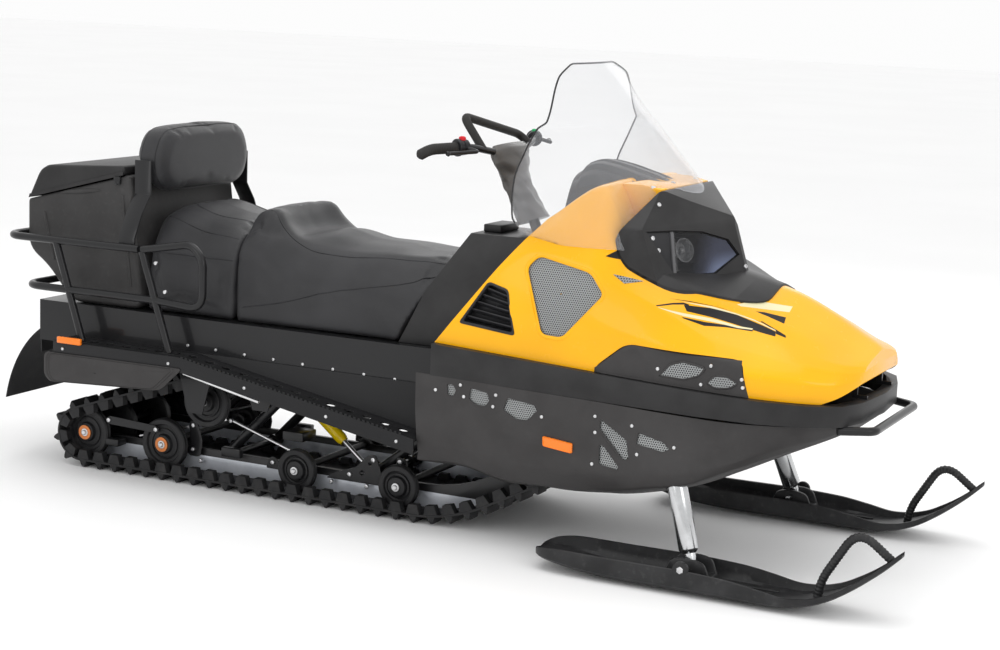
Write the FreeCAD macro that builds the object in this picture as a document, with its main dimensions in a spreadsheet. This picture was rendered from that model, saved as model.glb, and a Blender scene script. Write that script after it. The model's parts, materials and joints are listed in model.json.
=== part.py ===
import FreeCAD, Part
import Sketcher
import math
import os

Vector = FreeCAD.Vector

# Driving dimensions in millimetres and degrees, grouped by the piece that they belong to.
# X runs forward, Y to the left, Z up, with the ground at Z = 0 and X = 0 at mid length.
SIZES = {
    # whole machine
    "overall_length": 3180,
    "face_gap": 0.3,
    "overrun": 12,
    # track loop and its wheels
    "track_width": 600,
    "track_pitch": 64,
    "belt_thick": 7,
    "lug_height": 23,
    "lug_length": 20,
    "rear_axle_x": -1290,
    "second_axle_x": -975,
    "rail_axle_rear_x": -458,
    "rail_axle_front_x": -85,
    "idler_x": -810,
    "idler_height": 280,
    "big_wheel_radius": 86,
    "rail_wheel_radius": 69,
    "wheel_width": 26,
    "wheel_rim_depth": 20,
    "wheel_web_thick": 8,
    "wheel_hub_radius": 26,
    "wheel_hub_width": 40,
    "wheel_cap_radius": 13,
    "wheel_cap_proud": 8,
    "outer_wheel_y": 250,
    "boss_radius": 25,
    "inner_wheel_y": 96,
    "axle_radius": 12,
    "bow_start_x": -20,
    "bow_radius": 560,
    "sprocket_x": 430,
    "sprocket_height": 296,
    "sprocket_radius": 92,
    "sprocket_width": 34,
    "sprocket_y": 120,
    # slide rails and suspension
    "rail_y": 190,
    "rail_width": 14,
    "rail_height": 58,
    "slider_height": 16,
    "rail_rear_x": -1290,
    "rail_tip_x": 300,
    "arm_radius": 16,
    "front_arm_top_x": 60,
    "front_arm_top_height": 325,
    "front_arm_low_x": -260,
    "rear_arm_top_x": -560,
    "rear_arm_top_height": 320,
    "rear_arm_low_x": -800,
    "arm_y": 160,
    "shock_radius": 20,
    "shock_rod_radius": 8,
    "shock_wall": 7,
    "shock_y": 90,
    # tunnel, boards, rear
    "tunnel_rear_x": -1440,
    "tunnel_front_x": 560,
    "tunnel_top": 565,
    "tunnel_low": 428,
    "tunnel_half": 322,
    "tunnel_wall": 4,
    "arm_tab": 75,
    "arm_tab_drop": 28,
    "drive_tab": 120,
    "end_plate_low": 385,
    "board_rear_x": -1300,
    "board_bend_x": -800,
    "board_front_x": 58,
    "board_half": 430,
    "board_height": 455,
    "board_front_height": 303,
    "board_thick": 5,
    "board_lip": 48,
    "board_hole_radius": 15,
    "board_hole_pitch": 64,
    "valance_top": 420,
    "valance_drop": 104,
    "valance_rear_x": -1335,
    "valance_front_x": -784,
    "valance_slant": 88,
    "valance_thick": 4,
    "flap_half": 318,
    "flap_thick": 5,
    "flap_top_height": 462,
    "flap_low": 208,
    "flap_reach": 144.7,
    "hitch_height": 408,
    "hitch_length": 145,
    "hitch_width": 70,
    "hitch_gap": 34,
    "hitch_plate": 10,
    "hitch_hole_radius": 9.5,
    "hitch_hole_inset": 22,
    "lamp_length": 95,
    "lamp_height": 22,
    "lamp_depth": 14,
    "rear_marker_x": -1228,
    "rear_marker_height": 462,
    "front_marker_x": 534,
    "front_marker_height": 390,
    "tail_lamp_width": 220,
    # cargo rack
    "rack_radius": 12.5,
    "rack_half": 386,
    "rack_top": 782,
    "rack_mid": 622,
    "rack_rear_x": -1530,
    "rack_mid_rear_x": -1452,
    "rack_front_x": -990,
    "rack_bend": 46,
    "post_rear_top_x": -1322,
    "post_rear_foot_x": -1215,
    "post_front_foot_x": -868,
    "grab_front_x": -742,
    "grab_rise": 34,
    "grab_bend": 45,
    # cargo box and lid
    "box_half": 298,
    "box_wall": 5,
    "box_rear_x": -1512,
    "box_front_x": -1094,
    "box_foot_x": -1040,
    "hinge_shelf": 24,
    "lid_pin_radius": 5,
    "lid_pin_rise": 12,
    "lid_ear_y": 190,
    "box_belly_x": -1330,
    "box_seam_rear": 900,
    "box_seam_front": 1004,
    "lid_top_rear": 1016,
    "lid_top_front": 1036,
    "lid_rear_inset": 58,
    "lid_wall": 5,
    # backrest
    "backrest_overhang": 18,
    "backrest_thick": 122,
    "backrest_half": 282,
    "backrest_low": 948,
    "backrest_slope": 130,
    "backrest_top": 1170,
    "bracket_thick": 6,
    "bracket_width": 62,
    "bracket_ahead": 76,
    # seats and console
    "seat_half": 292,
    "seat_top_half": 150,
    "seat_joint_x": -690,
    "passenger_rear_x": -1040,
    "passenger_top": 922,
    "driver_front_x": -85,
    "driver_nose_x": 35,
    "driver_top": 930,
    "driver_dip": 826,
    "console_half": 285,
    "console_top_half": 120,
    "console_top": 905,
    "cluster_x": 88,
    "cluster_length": 62,
    "cluster_width": 130,
    "cluster_height": 24,
    "hood_gap": 9,
    # body shell round the engine
    "body_half": 430,
    "body_wall": 5,
    "body_low": 190,
    "body_depth": 320,
    "belly_rear_x": 40,
    "belly_length": 1305,
    "well_gap": 14,
    "rim_top_rear": 604,
    "rim_top_front": 538,
    "rim_low_rear": 508,
    "rim_low_front": 480,
    "rim_rear_x": 108,
    "rim_front_x": 1384,
    "rim_band": 34,
    "nose_tube_radius": 12.5,
    "nose_tube_half": 272,
    "nose_tube_rear_x": 1326,
    "nose_tube_front_x": 1418,
    "engine_length": 390,
    "engine_width": 420,
    "engine_height": 380,
    "engine_base": 305,
    # hood
    "hood_rear_x": 100,
    "hood_length": 1270,
    "hood_half": 412,
    "hood_low": 572,
    "hood_height": 546,
    "hood_wall": 5,
    "hood_cut_low_x": 111,
    "hood_cut_low_height": 611,
    "hood_cut_top_x": 382,
    "hood_cut_top_height": 948,
    "mesh_thick": 3,
    "hood_pivot_x": 1330,
    "hood_pivot_height": 592,
    "hinge_pin_radius": 6,
    "hinge_ear": 9,
    "hinge_ear_radius": 15,
    "hinge_y": 110,
    "arch_gap": 5,
    "cowl_half": 210,
    "pod_half": 352,
    "shield_thick": 4,
    "shield_half": 385,
    "shield_low": 930,
    "shield_rise": 519,
    "shield_rear_x": 330,
    "shield_depth": 415,
    "cowl_gap": 8,
    # handlebar
    "steer_lean": 23,
    "steer_x": 238,
    "steer_height": 930,
    "column_radius": 17,
    "column_length": 245,
    "column_drop": 190,
    "bar_radius": 11,
    "grip_radius": 17,
    "bar_half": 360,
    "bar_sweep": 80,
    "bar_rise": 57,
    "bar_bend": 44,
    "elbow_half": 230,
    "elbow_sweep": 15,
    "elbow_rise": 35,
    "clamp_half": 80,
    "grip_length": 94,
    "hook_reach": 28,
    "hook_drop": 22,
    "hook_bend": 24,
    "switch_length": 40,
    "lever_radius": 6,
    "lever_bend": 14,
    "lever_reach": 42,
    "lever_drop": 9,
    "lever_length": 112,
    "loop_radius": 13,
    "loop_bend": 34,
    "loop_half": 165,
    "loop_rise": 139,
    "loop_lean": 37,
    "loop_far_half": 150,
    "loop_far_rise": 59,
    "loop_far_lean": 26,
    "cover_low": 20,
    "cover_length": 196,
    "cover_half": 82,
    "cover_depth": 34,
    # front suspension and skis
    "stance": 939,
    "ski_pivot_x": 985,
    "ski_pivot_height": 77,
    "leg_lean_back": 19,
    "leg_lean_in": 11.3,
    "leg_radius": 29,
    "leg_length": 272,
    "leg_start": 40,
    "sleeve_radius": 35,
    "sleeve_start": 236,
    "sleeve_length": 80,
    "ski_width": 190,
    "ski_tail_x": 514,
    "ski_wall": 12,
    "ski_side": 58,
    "ski_flat_rear_x": 769,
    "ski_flat_front_x": 1266,
    "ski_tip_height": 206,
    "ski_tail_height": 44,
    "ski_keel": 20,
    "runner_radius": 6,
    "saddle_width": 78,
    "foot_radius": 17,
    "saddle_length": 150,
    "ski_bolt_radius": 8,
    "handle_radius": 13,
    "handle_rear_back": 234,
    "handle_top_back": 129,
    "handle_top_height": 250,
    "handle_bend": 40,
}

# Half sections of the hood from its lower edge to the crown: along, then half width and height.
HOOD_SHARES = [
    (0.000, [(0.976, -0.080), (0.981, 0.125), (0.966, 0.216), (0.934, 0.271), (0.850, 0.317), (0.0, 0.344)]),
    (0.118, [(0.981, -0.080), (0.990, 0.234), (0.961, 0.427), (0.908, 0.509), (0.813, 0.564), (0.0, 0.592)]),
    (0.252, [(0.985, -0.080), (0.998, 0.308), (0.942, 0.610), (0.850, 0.711), (0.740, 0.784), (0.0, 0.806)]),
    (0.386, [(0.990, -0.080), (1.000, 0.271), (0.951, 0.542), (0.837, 0.766), (0.709, 0.978), (0.0, 1.000)]),
    (0.472, [(0.990, -0.080), (1.002, 0.234), (0.937, 0.454), (0.850, 0.546), (0.728, 0.610), (0.0, 0.711)]),
    (0.575, [(0.988, -0.080), (1.000, 0.198), (0.917, 0.359), (0.801, 0.440), (0.709, 0.505), (0.0, 0.564)]),
    (0.685, [(0.971, -0.080), (0.981, 0.125), (0.869, 0.244), (0.752, 0.304), (0.607, 0.396), (0.0, 0.509)]),
    (0.787, [(0.934, -0.080), (0.942, 0.088), (0.837, 0.183), (0.704, 0.240), (0.522, 0.317), (0.0, 0.445)]),
    (0.882, [(0.837, -0.080), (0.842, 0.070), (0.757, 0.143), (0.636, 0.187), (0.466, 0.240), (0.0, 0.344)]),
    (0.953, [(0.692, -0.030), (0.694, 0.051), (0.636, 0.110), (0.553, 0.143), (0.427, 0.167), (0.0, 0.249)]),
    (0.997, [(0.522, 0.033), (0.519, 0.060), (0.490, 0.097), (0.442, 0.125), (0.364, 0.143), (0.0, 0.194)]),
]
# Half sections of the body tub from its upper edge down to the floor.
BELLY_SHARES = [
    (0.000, [(0.995, 1.000), (0.988, 0.656), (0.953, 0.344), (0.912, 0.131), (0.837, 0.100)]),
    (0.103, [(1.000, 0.994), (0.995, 0.625), (0.958, 0.312), (0.895, 0.150), (0.814, 0.100)]),
    (0.241, [(1.000, 0.975), (1.000, 0.562), (0.958, 0.250), (0.865, 0.047), (0.791, 0.000)]),
    (0.368, [(1.000, 0.963), (1.002, 0.531), (0.972, 0.234), (0.874, 0.044), (0.698, 0.000)]),
    (0.488, [(1.000, 0.950), (1.010, 0.594), (1.035, 0.312), (0.965, 0.110), (0.698, 0.025)]),
    (0.605, [(1.000, 0.931), (1.038, 0.625), (1.080, 0.375), (1.062, 0.235), (0.698, 0.119)]),
    (0.688, [(0.988, 0.919), (1.036, 0.625), (1.090, 0.430), (1.080, 0.312), (0.698, 0.225)]),
    (0.782, [(0.949, 0.906), (0.955, 0.719), (0.985, 0.550), (0.955, 0.469), (0.651, 0.400)]),
    (0.874, [(0.865, 0.906), (0.842, 0.812), (0.802, 0.688), (0.744, 0.619), (0.535, 0.578)]),
    (0.950, [(0.709, 0.906), (0.679, 0.850), (0.633, 0.775), (0.570, 0.734), (0.372, 0.713)]),
    (1.000, [(0.558, 0.912), (0.530, 0.881), (0.488, 0.850), (0.442, 0.831), (0.279, 0.819)]),
]
# Plan outline of the black rim, from its rear end to the nose: along, then half width.
RIM_PLAN_SHARES = [(0.0, 1.0), (0.66, 1.0), (0.80, 0.95), (0.90, 0.83), (0.965, 0.66), (0.99, 0.42)]
# Seat sections: along, then the height of the crown and the half width at the top edge.
PASSENGER_SHARES = [(0.0, 0.52, 0.70), (0.10, 0.86, 0.90), (0.30, 1.0, 1.0), (0.70, 1.0, 1.05),
                    (1.0, 0.88, 1.30)]
DRIVER_SHARES = [(0.0, 0.86, 1.32), (0.10, 0.98, 1.10), (0.22, 0.99, 0.95), (0.45, 0.72, 0.92),
                 (0.72, 0.69, 1.05)]
# Window in the side of the hood with wire mesh, and the louvred vent behind it, in hood shares.
MESH_WINDOW_SHARES = [(0.261, 0.602), (0.230, 0.527), (0.280, 0.165), (0.337, 0.159), (0.435, 0.418),
                      (0.396, 0.537)]
VENT_WINDOW_SHARES = [(0.140, 0.421), (0.191, 0.390), (0.213, 0.156), (0.072, 0.189)]
WHEEL_ARCH_SHARES = [(0.417, -0.08), (0.417, 0.033), (0.496, 0.183), (0.764, 0.154), (0.789, -0.08)]
# Side outline of the black lamp housing and of the wide lamp window in it.
POD_SIDE_SHARES = [(0.425, 0.54), (0.430, 0.70), (0.50, 0.965), (0.545, 0.905), (0.622, 0.811),
                   (0.640, 0.764), (0.657, 0.630), (0.668, 0.544), (0.752, 0.480), (0.752, 0.40),
                   (0.560, 0.40)]
POD_PLAN_SHARES = [(0.425, 1.0), (0.58, 0.93), (0.69, 0.60), (0.752, 0.42)]
POD_FRONT_SHARES = [(1.0, 0.0), (1.0, 0.696), (0.98, 0.766), (0.582, 0.976), (0.341, 1.004)]
LAMP_WINDOW_SHARES = [(0.470, 0.735), (0.485, 0.765), (0.640, 0.700), (0.668, 0.560), (0.668, 0.535),
                      (0.545, 0.540)]
# Side outline of the finned dash cover inside the windshield.
COWL_SIDE_SHARES = [(0.205, 0.72), (0.205, 0.88), (0.272, 1.068), (0.310, 1.080), (0.400, 1.045),
                    (0.490, 0.985), (0.490, 0.80)]
# Windshield levels: height, half width, place of the side edges and place of the middle.
SHIELD_SHARES = [(0.0, 0.896, 0.149, 1.414), (0.135, 0.961, 0.0, 1.253), (0.347, 1.0, 0.024, 1.0),
                 (0.520, 1.0, 0.108, 0.795), (0.640, 0.977, 0.181, 0.651), (0.678, 0.878, 0.210, 0.602),
                 (0.919, 0.678, 0.205, 0.313), (1.0, 0.390, 0.188, 0.217)]

# Rings of the padded cover on the column: along, depth and half width.
COVER_SHARES = [(0.0, 1.0, 1.0), (0.5, 0.85, 0.75), (0.85, 1.0, 0.95), (1.0, 1.0, 1.25)]


class Size:
    """A dimension with its value and the sheet formula that gives it."""

    def __init__(self, value, formula):
        self.value = value
        self.formula = formula

    def __add__(self, other):
        return joined(self, "+", other)

    def __radd__(self, other):
        return joined(other, "+", self)

    def __sub__(self, other):
        return joined(self, "-", other)

    def __rsub__(self, other):
        return joined(other, "-", self)

    def __mul__(self, other):
        return joined(self, "*", other)

    def __rmul__(self, other):
        return joined(other, "*", self)

    def __truediv__(self, other):
        return joined(self, "/", other)

    def __neg__(self):
        return joined(0, "-", self)


def as_size(given):
    """A plain number as a Size, or the Size itself."""
    if isinstance(given, Size):
        return given
    return Size(given, repr(given))


def joined(left, sign, right):
    """Size of two sizes joined by one of the four signs."""
    a, b = as_size(left), as_size(right)
    value = {"+": a.value + b.value, "-": a.value - b.value, "*": a.value * b.value}.get(sign)
    if sign == "/":
        value = a.value / b.value
    return Size(value, f"({a.formula} {sign} {b.formula})")


class Bound:
    """Dimensions by name as Size, for sketches and primitives that follow the sheet."""

    def __getattr__(self, name):
        return Size(SIZES[name], "sizes." + name)


class Plain:
    """Dimensions by name as plain numbers read from the sheet, for swept and lofted shapes."""

    def __getattr__(self, name):
        return float(sheet.get(name))


doc = FreeCAD.newDocument("snowmobile")
sheet = doc.addObject("Spreadsheet::Sheet", "sizes")
for row, (alias, number) in enumerate(SIZES.items(), start=1):
    sheet.set(f"A{row}", alias)
    sheet.set(f"B{row}", str(number))
    sheet.setAlias(f"B{row}", alias)
doc.recompute()
s = Bound()
n = Plain()
NODES = []


def bind(item, name, given):
    """Tie one property of an object to the formula of a size."""
    item.setExpression(name, as_size(given).formula)


def place(item, x, y, z):
    """Tie an object's place to three sizes."""
    item.Placement = FreeCAD.Placement(
        Vector(as_size(x).value, as_size(y).value, as_size(z).value), FreeCAD.Rotation())
    for axis, given in zip("xyz", (x, y, z)):
        bind(item, f"Placement.Base.{axis}", given)


def node(item, label):
    """Name an object as a finished piece and keep it for the hand over."""
    item.Label = label
    NODES.append(item)
    return item


def new_body(label, x=0, y=0, z=0):
    """An empty body at a place."""
    made = doc.addObject("PartDesign::Body", label)
    place(made, x, y, z)
    return made


def hold_point(sketch, line, start):
    """Hold the start of a line at a pair of sizes from the sketch's origin."""
    for kind, given in zip(("DistanceX", "DistanceY"), start):
        rule = sketch.addConstraint(Sketcher.Constraint(kind, -1, 1, line, 1, as_size(given).value))
        sketch.setExpression(f"Constraints[{rule}]", as_size(given).formula)


def draw_loop(sketch, corners):
    """Closed outline of straight lines whose corners follow the sheet."""
    first = sketch.GeometryCount
    count = len(corners)
    spots = [Vector(as_size(a).value, as_size(b).value, 0) for a, b in corners]
    for i in range(count):
        sketch.addGeometry(Part.LineSegment(spots[i], spots[(i + 1) % count]), False)
    for i in range(count):
        sketch.addConstraint(Sketcher.Constraint("Coincident", first + i, 2, first + (i + 1) % count, 1))
    for i, corner in enumerate(corners):
        hold_point(sketch, first + i, corner)


def draw_circle(sketch, centre, radius):
    """Circle whose centre and radius follow the sheet."""
    spot = Vector(as_size(centre[0]).value, as_size(centre[1]).value, 0)
    line = sketch.addGeometry(Part.Circle(spot, Vector(0, 0, 1), as_size(radius).value), False)
    for kind, given in zip(("DistanceX", "DistanceY"), centre):
        rule = sketch.addConstraint(Sketcher.Constraint(kind, -1, 1, line, 3, as_size(given).value))
        sketch.setExpression(f"Constraints[{rule}]", as_size(given).formula)
    rule = sketch.addConstraint(Sketcher.Constraint("Radius", line, as_size(radius).value))
    sketch.setExpression(f"Constraints[{rule}]", as_size(radius).formula)


def new_sketch(owner, role, lift=0):
    """Sketch on one of the body's own origin planes, lifted along its normal."""
    sketch = owner.newObject("Sketcher::SketchObject", owner.Name + "_sketch")
    plane = [item for item in owner.Origin.OriginFeatures if item.Role == role][0]
    sketch.AttachmentSupport = [(plane, "")]
    sketch.MapMode = "FlatFace"
    sketch.AttachmentOffset = FreeCAD.Placement(Vector(0, 0, as_size(lift).value), FreeCAD.Rotation())
    bind(sketch, "AttachmentOffset.Base.z", lift)
    return sketch


def pad(owner, role, corners, length, holes=()):
    """Pad of a straight-sided outline, half to each side of its plane, with round holes."""
    sketch = new_sketch(owner, role)
    draw_loop(sketch, corners)
    for centre, radius in holes:
        draw_circle(sketch, centre, radius)
    made = owner.newObject("PartDesign::Pad", owner.Name + "_pad")
    made.Profile = sketch
    made.Midplane = True
    bind(made, "Length", length)
    return made


def slab(label, role, corners, length, x=0, y=0, z=0, holes=()):
    """A body that is one pad."""
    owner = new_body(label, x, y, z)
    pad(owner, role, corners, length, holes)
    return owner


def turned(label, corners, x, y, z):
    """A body turned about its own Y axis; each corner is a radius and a place along the axis."""
    owner = new_body(label, x, y, z)
    sketch = new_sketch(owner, "XY_Plane")
    draw_loop(sketch, corners)
    made = owner.newObject("PartDesign::Revolution", label + "_turn")
    made.Profile = sketch
    made.ReferenceAxis = (sketch, ["V_Axis"])
    made.Angle = 360
    return owner


def feature(label, shape):
    """A piece whose shape comes from sweeps, lofts or cuts of them."""
    made = doc.addObject("Part::Feature", label)
    made.Shape = shape
    return node(made, label)


def bent_path(points, bend):
    """Wire of straight runs whose corners are rounded by tangent arcs."""
    spots = [Vector(*point) for point in points]
    edges = []
    start = spots[0]
    for before, corner, after in zip(spots, spots[1:], spots[2:]):
        into = (before - corner).normalize()
        out = (after - corner).normalize()
        half = into.getAngle(out) / 2
        back = bend / math.tan(half)
        first = corner + into * back
        last = corner + out * back
        toward = (into + out).normalize()
        middle = corner + toward * (bend / math.sin(half) - bend)
        edges.append(Part.LineSegment(start, first).toShape())
        edges.append(Part.Arc(first, middle, last).toShape())
        start = last
    edges.append(Part.LineSegment(start, spots[-1]).toShape())
    return Part.Wire(edges)


def tube(points, radius, bend=0):
    """Round bar along straight runs with rounded corners."""
    path = bent_path(points, bend)
    first = path.Edges[0]
    ring = Part.Wire([Part.Circle(first.valueAt(first.FirstParameter),
                                  first.tangentAt(first.FirstParameter), radius).toShape()])
    return path.makePipeShell([ring], True, False)


def rod(start, end, radius):
    """Round bar between two points."""
    along = Vector(*end) - Vector(*start)
    return Part.makeCylinder(radius, along.Length, Vector(*start), along)


def mirrored(shape):
    """The same shape on the other side of the machine."""
    return shape.mirror(Vector(0, 0, 0), Vector(0, 1, 0))


def both_sides(shape):
    """A shape and its mirror image as one group of solids."""
    return Part.makeCompound([shape, mirrored(shape)])


def prism(points, along):
    """Solid of a flat closed outline carried along a vector."""
    spots = [Vector(*point) for point in points]
    return Part.Face(Part.makePolygon(spots + spots[:1])).extrude(Vector(*along))


def side_prism(outline, half, middle=0):
    """Solid of an outline in the side view, as wide as twice the half width."""
    return prism([(x, middle - half, z) for x, z in outline], (0, 2 * half, 0))


def block(low, high):
    """Box between two corners."""
    size = [b - a for a, b in zip(low, high)]
    return Part.makeBox(*size, Vector(*low))


def ring_loft(sections, ruled=True):
    """Solid through closed straight-sided sections."""
    wires = [Part.makePolygon([Vector(*p) for p in section + section[:1]]) for section in sections]
    return Part.makeLoft(wires, True, ruled)


def inset(points, wall):
    """Open outline in a plane moved inward by a wall, to the right of its direction."""
    moved = []
    for i, (a, b) in enumerate(points):
        normals = []
        for j in (i - 1, i):
            if 0 <= j < len(points) - 1:
                da, db = points[j + 1][0] - points[j][0], points[j + 1][1] - points[j][1]
                size = math.hypot(da, db)
                normals.append((-db / size, da / size))
        na = sum(one[0] for one in normals) / len(normals)
        nb = sum(one[1] for one in normals) / len(normals)
        scale = wall / (na * na + nb * nb)
        moved.append((a + na * scale, b + nb * scale))
    return moved


# Track and its wheels

def belt_circles(offset):
    """Wheel circles that the belt runs round, in order, grown by an offset."""
    ground = n.lug_height + n.belt_thick
    return [
        (n.rear_axle_x, ground + n.big_wheel_radius, n.big_wheel_radius + offset),
        (n.bow_start_x, ground + n.bow_radius, n.bow_radius + offset),
        (n.sprocket_x, n.sprocket_height, n.sprocket_radius + offset),
        (n.idler_x, n.idler_height, n.big_wheel_radius + offset),
    ]


def tangent_normal(a, b):
    """Angle of the outward normal of the outer tangent from one circle to the next."""
    dx, dz = b[0] - a[0], b[1] - a[1]
    return math.atan2(dz, dx) - math.acos((a[2] - b[2]) / math.hypot(dx, dz))


def belt_loop(offset):
    """The belt's line as pieces: straight (start, end) and round (circle, from, to)."""
    circles = belt_circles(offset)
    normals = [tangent_normal(c, circles[(i + 1) % len(circles)]) for i, c in enumerate(circles)]
    pieces = []
    for i, circle in enumerate(circles):
        begin, finish = normals[i - 1], normals[i]
        while finish < begin:
            finish += 2 * math.pi
        pieces.append(("round", circle, begin, finish))
        following = circles[(i + 1) % len(circles)]
        pieces.append(("straight", on_circle(circle, normals[i]), on_circle(following, normals[i])))
    return pieces


def on_circle(circle, angle):
    """Point of a circle in the side view."""
    return (circle[0] + circle[2] * math.cos(angle), circle[1] + circle[2] * math.sin(angle))


def belt_wire(offset):
    """Closed wire of the belt's line at an offset from the wheels."""
    edges = []
    for kind, *data in belt_loop(offset):
        if kind == "round":
            circle, begin, finish = data
            ends = [on_circle(circle, a) for a in (begin, (begin + finish) / 2, finish)]
            edges.append(Part.Arc(*[Vector(x, 0, z) for x, z in ends]).toShape())
        else:
            edges.append(Part.LineSegment(*[Vector(x, 0, z) for x, z in data]).toShape())
    return Part.Wire(edges)


def belt_places(offset):
    """Point and outward angle at each lug, evenly spaced along the belt."""
    pieces = belt_loop(offset)
    lengths = []
    for kind, *data in pieces:
        if kind == "round":
            lengths.append(data[0][2] * (data[2] - data[1]))
        else:
            lengths.append(math.dist(data[0], data[1]))
    count = round(sum(lengths) / n.track_pitch)
    step = sum(lengths) / count
    places = []
    for i in range(count):
        left = i * step
        for (kind, *data), length in zip(pieces, lengths):
            if left <= length:
                break
            left -= length
        if kind == "round":
            angle = data[1] + left / data[0][2]
            places.append((on_circle(data[0], angle), angle))
        else:
            (x0, z0), (x1, z1) = data
            share = left / length
            angle = math.atan2(z1 - z0, x1 - x0) - math.pi / 2
            places.append(((x0 + share * (x1 - x0), z0 + share * (z1 - z0)), angle))
    return places


def make_track():
    """Rubber belt as one closed loop with a lug across it at every pitch."""
    half = n.track_width / 2
    outer = Part.Face(belt_wire(n.belt_thick))
    inner = Part.Face(belt_wire(0))
    belt = outer.cut(inner).extrude(Vector(0, n.track_width, 0))
    belt.translate(Vector(0, -half, 0))
    root = n.belt_thick / 2
    lug = prism([(root, -half, -n.lug_length / 2), (root + n.lug_height + root, -half, -n.lug_length / 4),
                 (root + n.lug_height + root, -half, n.lug_length / 4), (root, -half, n.lug_length / 2)],
                (0, n.track_width, 0))
    lugs = []
    for (x, z), angle in belt_places(0):
        one = lug.copy()
        one.rotate(Vector(0, 0, 0), Vector(0, 1, 0), -math.degrees(angle))
        one.translate(Vector(x, 0, z))
        lugs.append(one)
    feature("track", belt.multiFuse(lugs).removeSplitter())


def wheel_corners(radius, centre):
    """Corners of one wheel on an axle, from its inner side to its outer side along the axle."""
    half = s.wheel_width / 2
    hub = s.wheel_hub_width / 2
    web = s.wheel_web_thick / 2
    rim = radius - s.wheel_rim_depth
    rows = [(s.wheel_hub_radius, -hub), (s.wheel_hub_radius, -web), (rim, -web), (rim, -half),
            (radius, -half), (radius, half), (rim, half), (rim, web), (s.wheel_hub_radius, web),
            (s.wheel_hub_radius, hub)]
    return [(r, centre + y) for r, y in rows]


def wheel_set(label, radius, x, z, places, reach=None):
    """Wheels turned in one piece with the axle that carries them."""
    end = reach or places[-1] + s.wheel_hub_width / 2 + s.wheel_cap_proud
    corners = [(0, -end), (s.wheel_cap_radius, -end),
               (s.wheel_cap_radius, -places[-1] - s.wheel_hub_width / 2)]
    for i, centre in enumerate([-one for one in reversed(places)] + places):
        if i:
            corners.append((s.axle_radius, corners[-1][1]))
            corners.append((s.axle_radius, centre - s.wheel_hub_width / 2))
        corners += wheel_corners(radius, centre)
    corners += [(s.wheel_cap_radius, places[-1] + s.wheel_hub_width / 2), (s.wheel_cap_radius, end), (0, end)]
    return turned(label, corners, x, 0, z)


def make_wheels():
    """Rear axle, rail wheels, upper idlers and the drive axle with its two sprockets."""
    ground = s.lug_height + s.belt_thick
    node(wheel_set("rear_axle_wheels", s.big_wheel_radius, s.rear_axle_x, ground + s.big_wheel_radius,
                   [s.inner_wheel_y, s.outer_wheel_y]), "rear_axle_wheels")
    pairs = doc.addObject("Part::Compound", "rail_wheels")
    pairs.Links = [
        wheel_set("second_pair", s.big_wheel_radius, s.second_axle_x, ground + s.big_wheel_radius,
                  [s.outer_wheel_y]),
        wheel_set("rear_pair", s.rail_wheel_radius, s.rail_axle_rear_x, ground + s.rail_wheel_radius,
                  [s.outer_wheel_y]),
        wheel_set("front_pair", s.rail_wheel_radius, s.rail_axle_front_x, ground + s.rail_wheel_radius,
                  [s.outer_wheel_y]),
    ]
    node(pairs, "rail_wheels")
    end = s.tunnel_half - s.tunnel_wall - s.face_gap
    node(wheel_set("upper_idler_wheels", s.big_wheel_radius, s.idler_x, s.idler_height,
                   [s.outer_wheel_y], end), "upper_idler_wheels")
    half = s.sprocket_width / 2
    corners = [(0, -end), (s.axle_radius, -end)]
    for centre in (-s.sprocket_y, s.sprocket_y):
        corners += [(s.axle_radius, centre - half), (s.sprocket_radius, centre - half),
                    (s.sprocket_radius, centre + half), (s.axle_radius, centre + half)]
    corners += [(s.axle_radius, end), (0, end)]
    node(turned("drive_axle", corners, s.sprocket_x, 0, s.sprocket_height), "drive_axle")


def rail_points(low):
    """Side outline of a line at a height over the belt: flat, then up along the bow to the tip."""
    ground = n.lug_height + n.belt_thick
    centre_z = ground + n.bow_radius
    radius = n.bow_radius - low
    reach = math.asin((n.rail_tip_x - n.bow_start_x) / radius)
    arc = [(n.bow_start_x + radius * math.sin(reach * i / 6), centre_z - radius * math.cos(reach * i / 6))
           for i in range(7)]
    return [(n.rail_rear_x, ground + low)] + arc


def axle_places():
    """X and height of the axles that pass through the rails."""
    ground = n.lug_height + n.belt_thick
    return [
        (n.rear_axle_x, ground + n.big_wheel_radius),
        (n.second_axle_x, ground + n.big_wheel_radius),
        (n.rail_axle_rear_x, ground + n.rail_wheel_radius),
        (n.rail_axle_front_x, ground + n.rail_wheel_radius),
    ]


def make_rails():
    """Two slide rails on their sliders, each with a boss at every axle."""
    low = n.face_gap
    outline = rail_points(low) + rail_points(low + n.slider_height + n.rail_height)[::-1]
    rail = side_prism(outline, n.rail_width / 2, n.rail_y)
    inner, outer = n.rail_y - n.rail_width / 2, n.rail_y + n.rail_width / 2
    bosses = [rod((x, inner, z), (x, outer, z), n.boss_radius) for x, z in axle_places()]
    holes = [rod((x, inner - n.overrun, z), (x, outer + n.overrun, z), n.axle_radius + n.face_gap)
             for x, z in axle_places()]
    feature("slide_rails", both_sides(rail.fuse(bosses).cut(holes)))


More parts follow.
